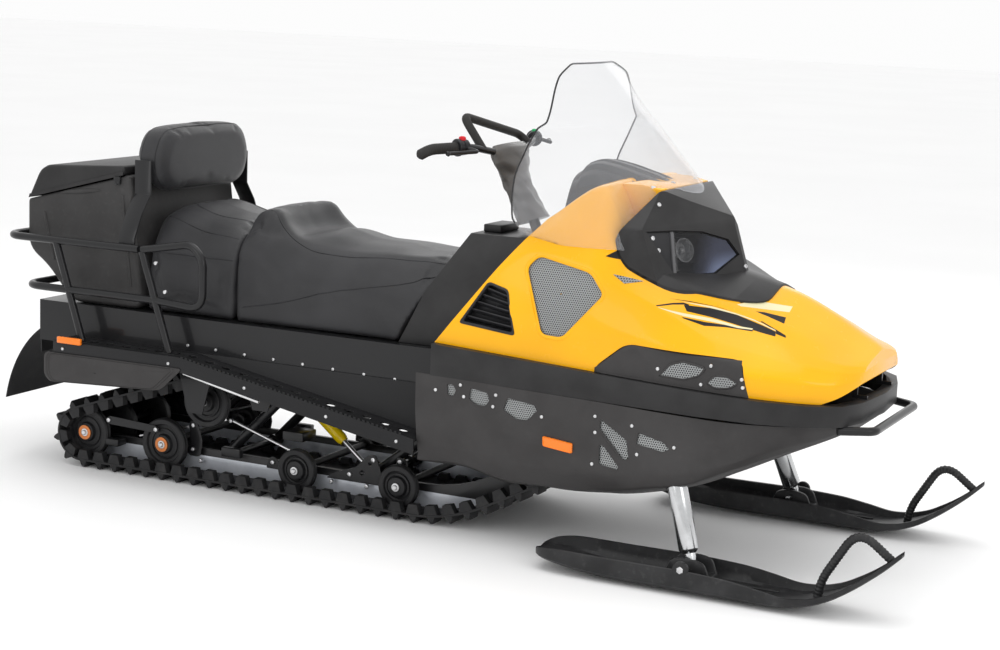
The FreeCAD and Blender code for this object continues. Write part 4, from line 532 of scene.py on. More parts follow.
def rounded(points, share=0.25, steps=4, closed=False):
    """Lines whose corners become parabolas that start a share of the way along their sides."""
    p = np.asarray(points, float)
    before, after = np.roll(p, 1, -2), np.roll(p, -1, -2)
    t = np.linspace(0, 1, steps + 1)[:, None]
    start = (p + share * (before - p))[..., None, :]
    end = (p + share * (after - p))[..., None, :]
    bends = (1 - t) ** 2 * start + 2 * t * (1 - t) * p[..., None, :] + t ** 2 * end
    if closed:
        return bends.reshape(p.shape[:-2] + (-1, p.shape[-1]))
    inner = bends[..., 1:-1, :, :].reshape(p.shape[:-2] + (-1, p.shape[-1]))
    return np.concatenate([p[..., :1, :], inner, p[..., -1:, :]], -2)


def filleted(points, radius, steps=8, closed=False):
    """Path with corners turned into parabolas whose arms are the radius long."""
    p = np.asarray(points, float)
    out = []
    count = len(p)
    for i in range(count):
        if not closed and i in (0, count - 1):
            out.append(p[i][None])
            continue
        a, b = p[i - 1] - p[i], p[(i + 1) % count] - p[i]
        la, lb = np.linalg.norm(a), np.linalg.norm(b)
        arm = min(radius, la * 0.49, lb * 0.49)
        t = np.linspace(0, 1, steps + 1)[:, None]
        out.append((1 - t) ** 2 * (p[i] + a / la * arm) + 2 * t * (1 - t) * p[i] + t ** 2 * (p[i] + b / lb * arm))
    return np.vstack(out)


def carried(path, profile, closed=False, up=None):
    """Grid of a profile (across, up) carried square along a path; its second axis stays nearest to up."""
    path, profile = np.asarray(path, float), np.asarray(profile, float)
    if closed:
        tangent = np.roll(path, -1, 0) - np.roll(path, 1, 0)
    else:
        tangent = np.gradient(path, axis=0)
    tangent /= np.linalg.norm(tangent, axis=1, keepdims=True)
    if up is None:
        spread = np.ptp(path, axis=0)
        up = np.eye(3)[int(np.argmin(spread))]
    up = np.broadcast_to(np.asarray(up, float), tangent.shape)
    across = np.cross(tangent, up)
    across /= np.linalg.norm(across, axis=1, keepdims=True)
    lift = np.cross(across, tangent)
    return path[:, None] + across[:, None] * profile[None, :, :1] + lift[:, None] * profile[None, :, 1:2]


def ring(radius, sides):
    """Circle profile."""
    a = np.arange(sides) * 2 * math.pi / sides
    return np.stack([radius * np.cos(a), radius * np.sin(a)], -1)


def evenly(path, count):
    """Path read again at even steps, with the length reached at each."""
    steps = np.concatenate([[0], np.linalg.norm(np.diff(path, axis=0), axis=1).cumsum()])
    even = np.linspace(0, steps[-1], count)
    return np.stack([np.interp(even, steps, path[:, k]) for k in range(3)], -1), even


def swollen(name, path, profile, swell, up):
    """Profile carried along a path and scaled at each of its points."""
    return closed_skin(name, path[:, None] + (carried(path, profile, up=up) - path[:, None]) * swell[:, None, None])


def tube(name, points, radius, bend=0.03, sides=16, steps=8, up=None):
    """Round tube along a path with bent corners."""
    path = filleted(points, bend, steps) if bend else np.asarray(points, float)
    return closed_skin(name, carried(path, ring(radius, sides), up=up))


def spun(name, start, end, profile, sides=32, hollow=False):
    """Turned part: profile of (radius, share of the way) about the line from start to end, closed if hollow."""
    start, end = np.asarray(start, float), np.asarray(end, float)
    w = (end - start) / np.linalg.norm(end - start)
    u = np.cross((0.0, 1.0, 0.0) if abs(w[1]) < 0.9 else (1.0, 0.0, 0.0), w)
    u /= np.linalg.norm(u)
    r, t = np.asarray(profile, float).T[:, :, None, None]
    circle = ring(1.0, sides) @ np.stack([u, np.cross(w, u)])
    return closed_skin(name, start + t * (end - start) + r * circle, hollow)


def mirrored(piece, name):
    """Copy of a piece on the other side of the machine."""
    twin = linked(name, piece.data.copy())
    points = np.empty(len(twin.data.vertices) * 3)
    twin.data.vertices.foreach_get("co", points)
    points[1::3] *= -1
    twin.data.vertices.foreach_set("co", points)
    twin.data.flip_normals()
    twin.data.update()
    return twin


def joined(name, pieces):
    """One object from several pieces, which are removed."""
    shape = bmesh.new()
    for piece in pieces:
        shape.from_mesh(piece.data)
    mesh = bpy.data.meshes.new(name)
    shape.to_mesh(mesh)
    shape.free()
    whole = linked(name, mesh)
    for piece in pieces:
        bpy.data.objects.remove(piece)
    return whole


def prism(name, outline, low, high, axis=1):
    """Closed prism of an outline in the plane square to an axis, between two places on it."""
    outline = np.asarray(outline, float)
    grid = np.insert(np.stack([outline, outline]), axis, 0.0, axis=2)
    grid[0, :, axis], grid[1, :, axis] = low, high
    count = len(outline)

    def work(shape):
        shape.verts.ensure_lookup_table()
        shape.faces.new(shape.verts[:count])
        shape.faces.new(shape.verts[count:][::-1])
        bmesh.ops.recalc_face_normals(shape, faces=shape.faces)
    return reshaped(skin(name, grid, around=True), work)


def carve(piece, cutters, operation="DIFFERENCE"):
    """Cuts closed pieces out of a closed piece, or keeps what it shares with them."""
    for cutter in cutters:
        modify(piece, "BOOLEAN", operation=operation, object=cutter, solver="EXACT")
        bpy.data.objects.remove(cutter)
    return piece


# Body shell

LEG_LEAN = np.array([-math.tan(math.radians(19)), math.tan(math.radians(11.3)), 1.0])
LEG_LEAN /= np.linalg.norm(LEG_LEAN)
SKI_PIVOT = np.array([0.985, -0.4695, 0.077])
HOOD = {"start": 0.100, "length": 1.270, "half": 0.412, "low": 0.572, "rise": 0.546, "sections": [
    (0.000, [(0.976, -0.080), (0.981, 0.125), (0.966, 0.216), (0.934, 0.271), (0.850, 0.317), (0.0, 0.344)]),
    (0.118, [(0.981, -0.080), (0.990, 0.234), (0.961, 0.427), (0.908, 0.509), (0.813, 0.564), (0.0, 0.592)]),
    (0.252, [(0.985, -0.080), (0.998, 0.308), (0.942, 0.610), (0.850, 0.711), (0.740, 0.784), (0.0, 0.806)]),
    (0.386, [(0.990, -0.080), (1.000, 0.271), (0.951, 0.542), (0.837, 0.766), (0.709, 0.978), (0.0, 1.000)]),
    (0.472, [(0.990, -0.080), (1.002, 0.234), (0.937, 0.454), (0.850, 0.546), (0.728, 0.610), (0.0, 0.711)]),
    (0.575, [(0.988, -0.080), (1.000, 0.198), (0.917, 0.359), (0.801, 0.440), (0.709, 0.505), (0.0, 0.564)]),
    (0.685, [(0.971, -0.080), (0.981, 0.125), (0.869, 0.244), (0.752, 0.304), (0.607, 0.396), (0.0, 0.509)]),
    (0.787, [(0.934, -0.080), (0.942, 0.088), (0.837, 0.183), (0.704, 0.240), (0.522, 0.317), (0.0, 0.445)]),
    (0.882, [(0.837, -0.080), (0.842, 0.070), (0.757, 0.143), (0.636, 0.187), (0.466, 0.240), (0.0, 0.344)]),
    (0.953, [(0.692, -0.030), (0.694, 0.051), (0.636, 0.110), (0.553, 0.143), (0.427, 0.167), (0.0, 0.249)]),
    (0.997, [(0.522, 0.033), (0.519, 0.060), (0.490, 0.097), (0.442, 0.125), (0.364, 0.143), (0.0, 0.194)])]}
BELLY = {"start": 0.040, "length": 1.305, "half": 0.430, "low": 0.190, "rise": 0.320, "sections": [
    (0.000, [(0.995, 1.000), (0.988, 0.656), (0.953, 0.344), (0.912, 0.131), (0.837, 0.100)]),
    (0.103, [(1.000, 0.994), (0.995, 0.625), (0.958, 0.312), (0.895, 0.150), (0.814, 0.100)]),
    (0.241, [(1.000, 0.975), (1.000, 0.562), (0.958, 0.250), (0.865, 0.047), (0.791, 0.000)]),
    (0.368, [(1.000, 0.963), (1.002, 0.531), (0.972, 0.234), (0.874, 0.044), (0.698, 0.000)]),
    (0.488, [(1.000, 0.950), (1.010, 0.594), (1.035, 0.312), (0.965, 0.110), (0.698, 0.025)]),
    (0.605, [(1.000, 0.931), (1.038, 0.625), (1.080, 0.375), (1.062, 0.235), (0.698, 0.119)]),
    (0.688, [(0.988, 0.919), (1.036, 0.625), (1.090, 0.430), (1.080, 0.312), (0.698, 0.225)]),
    (0.782, [(0.949, 0.906), (0.955, 0.719), (0.985, 0.550), (0.955, 0.469), (0.651, 0.400)]),
    (0.874, [(0.865, 0.906), (0.842, 0.812), (0.802, 0.688), (0.744, 0.619), (0.535, 0.578)]),
    (0.950, [(0.709, 0.906), (0.679, 0.850), (0.633, 0.775), (0.570, 0.734), (0.372, 0.713)]),
    (1.000, [(0.558, 0.912), (0.530, 0.881), (0.488, 0.850), (0.442, 0.831), (0.279, 0.819)])]}


def body_lines(shell, places):
    """Half section (half width, height) at each place; each row of points glides from one section to the next."""
    knots = shell["start"] + shell["length"] * np.array([along for along, rows in shell["sections"]])
    lines = np.array([rows for along, rows in shell["sections"]])
    return glide(knots, lines * (shell["half"], shell["rise"]) + (0.0, shell["low"]), places)


def width_at(lines, heights):
    """Half width of each section line, read at a height; the lines rise from their first point."""
    i = np.clip((lines[..., 1] <= heights[:, None]).sum(1) - 1, 0, lines.shape[1] - 2)
    r = np.arange(len(heights))
    a, b = lines[r, i], lines[r, i + 1]
    share = np.clip((heights - a[:, 1]) / np.maximum(b[:, 1] - a[:, 1], 1e-6), 0, 1)
    return a[:, 0] + share * (b[:, 0] - a[:, 0])


def on_side(shell, points, proud=0.0):
    """Side-view points put on the right side of the hood or the belly, a little proud of it."""
    points = np.asarray(points, float)
    flat = points.reshape(-1, 2)
    lines = rounded(body_lines(shell, flat[:, 0]), 0.2)
    if shell is BELLY:
        lines = lines[:, ::-1]
    proud = np.broadcast_to(proud, points.shape[:-1]).ravel()
    return np.stack([flat[:, 0], -width_at(lines, flat[:, 1]) - proud, flat[:, 1]],
                    -1).reshape(points.shape[:-1] + (3,))


def on_hood(points, proud=0.0):
    return on_side(HOOD, points, proud)


def on_belly(points, proud=0.0):
    return on_side(BELLY, points, proud)


def hood_shares(shares):
    """Side-view points from shares of the hood's length and height."""
    return np.array(shares) * (HOOD["length"], HOOD["rise"]) + (HOOD["start"], HOOD["low"])


def lofted(name, places, line):
    """Closed volume of section lines (across, height) at places along X."""
    return closed_skin(name, np.insert(line, 0, places[:, None], axis=2))


def both_halves(half):
    """Section line from the right lower edge over the crown to the left lower edge."""
    return np.concatenate([half * (-1, 1), half[:, -2::-1]], 1)


def hood_block(inward):
    """Closed hood volume: rounded section lines along X, drawn in towards the tip of the nose."""
    last = HOOD["start"] + HOOD["length"] * 0.997 - inward
    places = np.linspace(HOOD["start"] - inward * 2, last, 150)
    lines = both_halves(body_lines(HOOD, places))
    if inward:
        lines[..., 0] *= 1 - inward / HOOD["half"]
        lines[..., 1] -= inward
    tip = np.clip((places - (last - 0.045)) / 0.045, 0, 1)
    shrink = (1 - 0.16 * (1 - np.sqrt(1 - tip ** 2 * 0.999)))[:, None, None]
    middle = np.array([0.0, 0.63])
    return lofted("hood block", places, middle + (rounded(lines, 0.16, 4) - middle) * shrink)


def side_cutter(name, outline, half=0.6):
    """Prism across the machine from a side-view outline."""
    return prism(name, outline, -half, half, axis=1)


def hood_edge(height):
    """X of the hood's sloping rear edge at a height."""
    return 0.111 + (height - 0.611) * 0.271 / 0.337


def rim_top(x):
    """Height of the rim's top along the machine."""
    return 0.604 - (x - 0.096) * 0.066 / 1.300


MESH_WINDOW = [(0.261, 0.602), (0.230, 0.527), (0.280, 0.165), (0.337, 0.159), (0.435, 0.418), (0.396, 0.537)]
VENT_WINDOW = [(0.140, 0.421), (0.191, 0.390), (0.213, 0.156), (0.072, 0.189)]
WHEEL_ARCH = [(0.417, -0.08), (0.417, 0.033), (0.496, 0.183), (0.764, 0.154), (0.789, -0.08)]
POD_SIDE = [(0.425, 0.54), (0.430, 0.70), (0.50, 0.965), (0.545, 0.905), (0.622, 0.811), (0.640, 0.764),
            (0.657, 0.630), (0.668, 0.544), (0.752, 0.480), (0.752, 0.40), (0.560, 0.40)]
POD_PLAN = np.array([(0.425, 0.352), (0.58, 0.327), (0.69, 0.211), (0.752, 0.148)])
ARCH_LEAVES = [[(0.838, 0.592), (0.868, 0.627), (0.905, 0.640), (0.972, 0.628), (0.955, 0.604), (0.912, 0.589)],
               [(0.978, 0.585), (0.998, 0.608), (1.035, 0.611), (1.068, 0.594), (1.045, 0.578), (1.005, 0.573)]]
ARCH_BOLTS = [(0.832, 0.611), (0.988, 0.636), (0.962, 0.580), (1.078, 0.606), (1.082, 0.583)]
LENS_CORNER = np.array([0.739, -0.330, 0.990])
LENS_OUT = np.array([0.862, -0.428, 0.272])
LENS_ALONG = np.array([0.4447, 0.8957, 0.0])
LENS_UP = np.array([-0.2436, 0.1210, 0.9624])
LENS_GLASS = [(0.108, -0.008), (0.221, -0.016), (0.317, -0.042), (0.352, -0.086), (0.250, -0.135), (0.097, -0.135)]
LENS_RECESS = [(0.003, -0.003), (0.108, -0.004), (0.221, -0.012), (0.320, -0.039), (0.357, -0.087), (0.252, -0.139),
               (0.094, -0.139)]


def on_face(along, up, out):
    """Points of the right lamp face, from its rear upper corner."""
    along, up = np.asarray(along, float)[..., None], np.asarray(up, float)[..., None]
    return LENS_CORNER + LENS_ALONG * along + LENS_UP * up + LENS_OUT * out


def lamp_slab(name, outline, steps):
    """Closed plate along the right lamp face: an outline taken through steps of (share, out)."""
    outline = np.asarray(outline, float)
    centre = outline.mean(0)
    return closed_skin(name, np.array([on_face(*(centre + (outline - centre) * share).T, out)
                                       for share, out in steps]))


def pod_block():
    """Lamp housing's volume: side outline across the machine, cut to its plan and to its leaning roof."""
    block = side_cutter("pod", filleted(hood_shares(POD_SIDE), 0.012, 4, True), 0.5)
    plan = POD_PLAN * (HOOD["length"], 1) + (HOOD["start"], 0)
    plan = filleted(np.vstack([plan * (1, -1), plan[::-1]]), 0.05, 5, True)
    return carve(block, [prism("plan", plan, 0.4, 1.4, axis=2), roof_prism()], "INTERSECT")


def sliced(piece, place, normal):
    """Cuts off what lies beyond a plane and closes the cut."""
    def work(shape):
        everything = shape.verts[:] + shape.edges[:] + shape.faces[:]
        cut = bmesh.ops.bisect_plane(shape, geom=everything, plane_co=place, plane_no=normal, clear_outer=True)
        edges = [part for part in cut["geom_cut"] if isinstance(part, bmesh.types.BMEdge)]
        bmesh.ops.edgeloop_fill(shape, edges=edges)
        bmesh.ops.recalc_face_normals(shape, faces=shape.faces)
    return reshaped(piece, work)


def pod_head():
    """Housing cut to its two lamp faces, the slopes above them and the blunt nose between them."""
    head = pod_block()
    for tilt in (0.0, math.radians(11.8)):
        normal = LENS_OUT * math.cos(tilt) + LENS_UP * math.sin(tilt)
        for side in (1, -1):
            sliced(head, LENS_CORNER * (1, side, 1), normal * (1, side, 1))
    return sliced(head, (0.899, 0.0, 0.985), (0.952, 0.0, 0.306))


def pod_tongue():
    """Housing's foot: the part of its volume that lies on the hood, a little proud of the shell."""
    return carve(pod_block(), [hood_block(-0.006)], "INTERSECT")


def roof_prism():
    """Prism along the machine under a roof that leans inwards on both sides."""
    roof = np.array([(0.5, 0.4), (0.5, 0.90), (0.353, 0.952), (0.345, 0.99), (0.205, 1.105), (0.12, 1.12)])
    return prism("roof", filleted(np.vstack([roof * (-1, 1), roof[::-1]]), 0.015, 4, True), 0.3, 1.3, axis=0)


def bead(name, path, half, proud):
    """Raised bead: a half oval carried round a closed path on the right side, flat side on the body."""
    a = np.linspace(0, math.pi, 9)
    profile = np.stack([half * np.cos(a), proud * np.sin(a) - 0.001], -1)
    return closed_skin(name, carried(path, profile, True, (0, -1, 0)), along=True)


def tray(name, outline, profile, place):
    """Recessed side panel: an outline shrunk towards its middle in steps; each step has its own proud height."""
    outline = np.asarray(outline, float)
    centre = outline.mean(0)
    scale, height = np.array(profile).T
    flat = centre + (outline - centre) * scale[:, None, None]
    return side_facing(outward(skin(name, place(flat, np.broadcast_to(height[:, None], flat.shape[:2])),
                                    around=True)))


def side_facing(piece):
    """Turns the faces of an open side panel so that they look away from the middle of the machine."""
    faces = piece.data.polygons
    normals, centres, areas = np.empty(len(faces) * 3), np.empty(len(faces) * 3), np.empty(len(faces))
    for key, values in (("normal", normals), ("center", centres), ("area", areas)):
        faces.foreach_get(key, values)
    if (normals[1::3] * np.sign(centres[1::3]) * areas).sum() < 0:
        piece.data.flip_normals()
    return piece


def studs(name, places, directions, radius=0.0055, height=0.003, sides=12):
    """Domed screws: a turned cap at each place, its axis along that place's direction."""
    places = np.atleast_2d(np.asarray(places, float))
    w = np.broadcast_to(np.asarray(directions, float), places.shape)
    w = w / np.linalg.norm(w, axis=1, keepdims=True)
    u = np.cross(np.where(np.abs(w[:, :1]) > 0.9, (0.0, 0.0, 1.0), (1.0, 0.0, 0.0)), w)
    u /= np.linalg.norm(u, axis=1, keepdims=True)
    frames = np.stack([u, np.cross(w, u), w], 1)
    profile = np.array([(1.0, -0.7), (1.0, 0.45), (0.86, 0.85), (0.52, 1.0), (0.46, 0.62), (0.02, 0.6)])
    profile *= radius, height
    circle = ring(1.0, sides)
    local = np.array([np.insert(circle * r, 2, h, axis=1) for r, h in profile]).reshape(-1, 3)
    points = places[:, None] + local @ frames
    faces = quads(len(profile), sides, around=True) + (np.arange(len(places)) * len(local))[:, None, None]
    return surface(name, points, faces.reshape(-1, 4))


def make_hood():
    """Yellow shell: hood volume less an inner volume, the rear slope, the rim, the lamp housing and the windows."""
    slope = side_cutter("slope", [(hood_edge(0.2), 0.2), (hood_edge(1.6), 1.6), (-1.0, 1.6), (-1.0, 0.2)])
    base = side_cutter("base", [(0.0, 0.1), (1.5, 0.1), (1.5, rim_top(1.5) + 0.0006), (0.0, rim_top(0.0) + 0.0006)])
    windows = [side_cutter("window", filleted(hood_shares(shares), bend, 5, True))
               for shares, bend in ((MESH_WINDOW, 0.022), (VENT_WINDOW, 0.012), (WHEEL_ARCH, 0.03))]
    shell = carve(hood_block(0.0), [hood_block(0.005), slope, base, pod_head(), pod_tongue(),
                                    joined("windows", windows)])
    shell.name = "hood_skin"
    show(outward(shell), HOOD_YELLOW, "hood", "body_yellow", "hood_shell", angle=26)


def make_hood_sides():
    """Wire mesh with its raised yellow rim, the louvred vent and the black arch cover on both sides of the hood."""
    hexagon = filleted(hood_shares(MESH_WINDOW), 0.022, 6, True)
    mesh = tray("hood_mesh_right", hexagon,
                [(1.03, -0.008), (0.8, -0.010), (0.55, -0.010), (0.3, -0.010), (0.02, -0.010)], on_hood)
    modify(mesh, "SOLIDIFY", thickness=0.0015, offset=0.0)
    show_both(mesh, MESH_METAL, "hood", "mesh_metal", "hood_side_meshes")
    show_both(bead("mesh_rim_right", on_hood(hexagon, -0.001), 0.0065, 0.0035), HOOD_YELLOW, "hood", "body_yellow")
    vent = tray("vent_right", filleted(hood_shares(VENT_WINDOW), 0.012, 5, True),
                [(1.05, -0.003), (1.05, 0.0025), (0.97, 0.003), (0.93, 0.0005), (0.90, -0.03), (0.02, -0.03)],
                on_hood)
    show_both(vent, SATIN_PLASTIC, "hood", "console_plastic", "hood_side_meshes")
    slats = []
    top_rear, top_front, low_front, low_rear = hood_shares(VENT_WINDOW)
    for share in (0.16, 0.34, 0.52, 0.70, 0.86):
        line = np.linspace(low_rear + (top_rear - low_rear) * share + (0.006, 0),
                           low_front + (top_front - low_front) * share - (0.006, 0), 12)
        profile = [(0.0, 0.0), (0.014, -0.020), (0.011, -0.022), (-0.003, -0.002)]
        slats.append(closed_skin("slat", carried(on_hood(line, -0.003), profile, up=(0, -1, 0))))
    show_both(joined("vent_slats_right", slats), SATIN_PLASTIC, "hood", "console_plastic")
    arch = filleted(hood_shares(WHEEL_ARCH)[1:-1], 0.03, 6)
    base = hood_shares(WHEEL_ARCH)[[-1, 0]]
    base[:, 1] = rim_top(base[:, 0]) + 0.0004
    outline = np.vstack([np.linspace(base[1], arch[0], 4)[:-1], arch, np.linspace(arch[-1], base[0], 4)[1:-1],
                         np.linspace(*base, 24)[:-1]])
    cover = tray("arch_cover_right", outline,
                 [(0.99, -0.006), (0.985, -0.0005), (0.97, 0.004), (0.93, 0.0065), (0.86, 0.006), (0.7, 0.006),
                  (0.4, 0.006), (0.02, 0.006)], on_hood)
    show_both(cover, GREY_PLASTIC, "chassis", "belly_plastic", "arch_panels")
    leaves = [filleted(corners, 0.010, 4, True) for corners in ARCH_LEAVES]
    inlays = [tray("leaf", leaf, [(1.0, 0.0075), (0.6, 0.0075), (0.02, 0.0075)], on_hood) for leaf in leaves]
    show_both(joined("arch_mesh_right", inlays), MESH_METAL, "chassis", "mesh_metal")
    rims = [bead("leaf rim", on_hood(leaf, 0.006), 0.0035, 0.0035) for leaf in leaves]
    show_both(joined("arch_rims_right", rims), GREY_PLASTIC, "chassis", "belly_plastic")
    show_both(studs("arch_bolts_right", on_hood(ARCH_BOLTS, 0.007), (0, -1, 0)), STEEL, "chassis", "leg_chrome")


STRIPES_DARK = [([(0.829, 0.804), (0.879, 0.798), (0.934, 0.787), (0.993, 0.772), (1.072, 0.749), (1.144, 0.717)],
                 [(0.83, 0.804), (0.88, 0.796), (0.947, 0.784), (1.002, 0.769), (1.076, 0.745), (1.149, 0.712)]),
                ([(0.868, 0.788), (0.936, 0.78), (1.004, 0.764), (1.079, 0.739), (1.117, 0.725)],
                 [(0.881, 0.772), (0.946, 0.757), (1.017, 0.739), (1.086, 0.722), (1.122, 0.714)]),
                ([(0.875, 0.758), (0.935, 0.745), (0.991, 0.738), (1.06, 0.728)],
                 [(0.881, 0.754), (0.936, 0.736), (0.993, 0.733), (1.061, 0.725)]),
                ([(0.801, 0.786), (0.84, 0.793), (0.865, 0.794), (0.88, 0.789)],
                 [(0.802, 0.783), (0.842, 0.789), (0.868, 0.789), (0.88, 0.785)]),
                ([(1.116, 0.727), (1.145, 0.714)],
                 [(1.12, 0.72), (1.149, 0.711)]),
                ([(1.004, 0.776), (1.062, 0.769), (1.119, 0.756)],
                 [(1.01, 0.773), (1.074, 0.755), (1.13, 0.732)]),
                ([(0.945, 0.789), (0.977, 0.79), (1.021, 0.796)],
                 [(0.949, 0.787), (0.976, 0.787), (1.02, 0.794)])]
STRIPES_PALE = [([(0.859, 0.797), (0.934, 0.785), (0.996, 0.769), (1.051, 0.753), (1.114, 0.729)],
                 [(0.873, 0.794), (0.936, 0.78), (1.002, 0.765), (1.057, 0.749), (1.117, 0.726)]),
                ([(0.807, 0.781), (0.876, 0.767), (0.947, 0.754), (1.018, 0.737), (1.058, 0.732)],
                 [(0.812, 0.779), (0.879, 0.76), (0.95, 0.746), (1.021, 0.732), (1.058, 0.729)]),
                ([(0.981, 0.787), (1.022, 0.794), (1.116, 0.779)],
                 [(0.984, 0.786), (1.032, 0.779), (1.118, 0.767)])]


def hood_band(upper, lower, proud):
    """Thin film on the hood's side between two lines with the same number of points."""
    knots = np.arange(len(upper))
    fine = np.linspace(0, knots[-1], 12 * knots[-1] + 1)
    upper, lower = (np.stack([np.interp(fine, knots, axis) for axis in np.array(line).T], -1)
                    for line in (upper, lower))
    share = np.linspace(0, 1, 9)[:, None, None]
    return side_facing(skin("film", on_hood(upper * (1 - share) + lower * share, proud)))


def make_stripes():
    """Plain stripes on both sides of the hood, a small mesh slot, and a black film painted as the shade in the
    scoop opening behind the lamp housing.
    """
    # painted shade: the scoop opening is not cut; a black film on the hood stands for the shade inside it
    scoop_shade = ([(0.634, 0.911), (0.658, 0.926), (0.676, 0.938)], [(0.634, 0.9105), (0.662, 0.905), (0.690, 0.899)])
    small = ([(0.665, 0.862), (0.700, 0.856), (0.746, 0.847)], [(0.665, 0.861), (0.699, 0.838), (0.746, 0.846)])
    for name, bands, proud, material, slot in (
            ("stripes_dark", STRIPES_DARK, 0.0005, BLACK_STRIPE_AND_SHADE_FILM, "console_plastic"),
            ("stripes_pale", STRIPES_PALE, 0.0008, STRIPE_PALE, "body_yellow"),
            ("scoop_shade", [scoop_shade], 0.0012, BLACK_STRIPE_AND_SHADE_FILM, "console_plastic"),
            ("slot", [small], 0.0012, MESH_METAL, "mesh_metal")):
        film = joined(name + "_right", [hood_band(upper, lower, proud) for upper, lower in bands])
        modify(film, "SOLIDIFY", thickness=0.0004, offset=-1.0)
        show_both(film, material, "hood", slot)


def belly_block(inward):
    """Closed belly volume: rounded half sections along X from the upper edge to the floor, mirrored and closed."""
    places = np.linspace(BELLY["start"] - inward * 4, BELLY["start"] + BELLY["length"] - inward, 140)
    half = body_lines(BELLY, places)
    if inward:
        half[..., 0] *= 1 - inward / BELLY["half"]
        half[..., 1] += inward
        half[:, 0, 1] += 0.012
    half = rounded(half, 0.2, 4)
    return lofted("belly block", places, np.concatenate([half * (-1, 1), half[:, ::-1]], 1))


BELLY_VENTS = [[(0.166, 0.452), (0.163, 0.489), (0.186, 0.491), (0.200, 0.470), (0.189, 0.449)],
               [(0.238, 0.449), (0.243, 0.487), (0.301, 0.480), (0.312, 0.455), (0.296, 0.432), (0.262, 0.434)],
               [(0.352, 0.431), (0.366, 0.473), (0.455, 0.462), (0.470, 0.444), (0.436, 0.408), (0.398, 0.406)],
               [(0.665, 0.416), (0.668, 0.448), (0.758, 0.398), (0.772, 0.344), (0.752, 0.336)],
               [(0.785, 0.388), (0.790, 0.426), (0.872, 0.408), (0.895, 0.388), (0.872, 0.376)],
               [(0.668, 0.372), (0.684, 0.372), (0.742, 0.318), (0.738, 0.304), (0.672, 0.312)]]


def make_belly():
    """Grey belly: its volume less an inner volume, the track's well, strut holes, rear slope and vents."""
    well = prism("well", [(-0.5, -0.3226), (0.5663, -0.3226), (0.5663, 0.3226), (-0.5, 0.3226)], 0.0, 1.0, axis=2)
    slope = side_cutter("slope", [(0.028, -0.13), (0.040, 0.190), (0.0583, 0.255), (0.0583, 0.9), (-0.4, 0.9),
                                  (-0.4, -0.13)])
    bore = tube("bore", [SKI_PIVOT, SKI_PIVOT + LEG_LEAN * 0.3163], 0.0353, 0, 32)
    vents = [side_cutter("vent", filleted(corners, 0.008, 3, True)) for corners in BELLY_VENTS]
    shell = carve(belly_block(0.0), [belly_block(0.005), well, slope,
                                     joined("holes", [bore, mirrored(bore, "bore twin")]),
                                     joined("vents", vents)])
    shell.name = "belly_shell"
    show(outward(shell), GREY_PLASTIC, "chassis", "belly_plastic", "belly_pan", "belly_right", "belly_left",
         angle=28)


def make_belly_sides():
    """Mesh inlays, screws and amber reflectors on both sides of the belly."""
    outlines = [filleted(corners, 0.008, 3, True) for corners in BELLY_VENTS]
    inlays = [tray("inlay", outline, [(1.06, -0.006), (0.5, -0.006), (0.02, -0.006)], on_belly)
              for outline in outlines]
    show_both(joined("belly_mesh_right", inlays), MESH_METAL, "chassis", "mesh_metal")
    rims = [bead("rim", on_belly(outline, -0.001), 0.003, 0.0025) for outline in outlines]
    show_both(joined("belly_rims_right", rims), GREY_PLASTIC, "chassis", "belly_plastic")
    spots = [(0.128, 0.465), (0.212, 0.490), (0.224, 0.456), (0.330, 0.474), (0.322, 0.438), (0.482, 0.428),
             (0.652, 0.452), (0.770, 0.440), (0.655, 0.405), (0.652, 0.312), (0.795, 0.362), (0.905, 0.396)]
    show_both(studs("belly_bolts_right", on_belly(spots), (0, -1, 0)), STEEL, "chassis", "leg_chrome")
    outline = filleted([(0.489, 0.342), (0.489, 0.372), (0.585, 0.362), (0.585, 0.332)], 0.005, 3, True)
    lamp = tray("reflector_right", outline, [(1.0, -0.002), (1.0, 0.005), (0.94, 0.008), (0.90, 0.008),
                                             (0.88, 0.0065), (0.02, 0.0065)], on_belly)
    show_both(lamp, AMBER, "chassis", "lamp_amber")


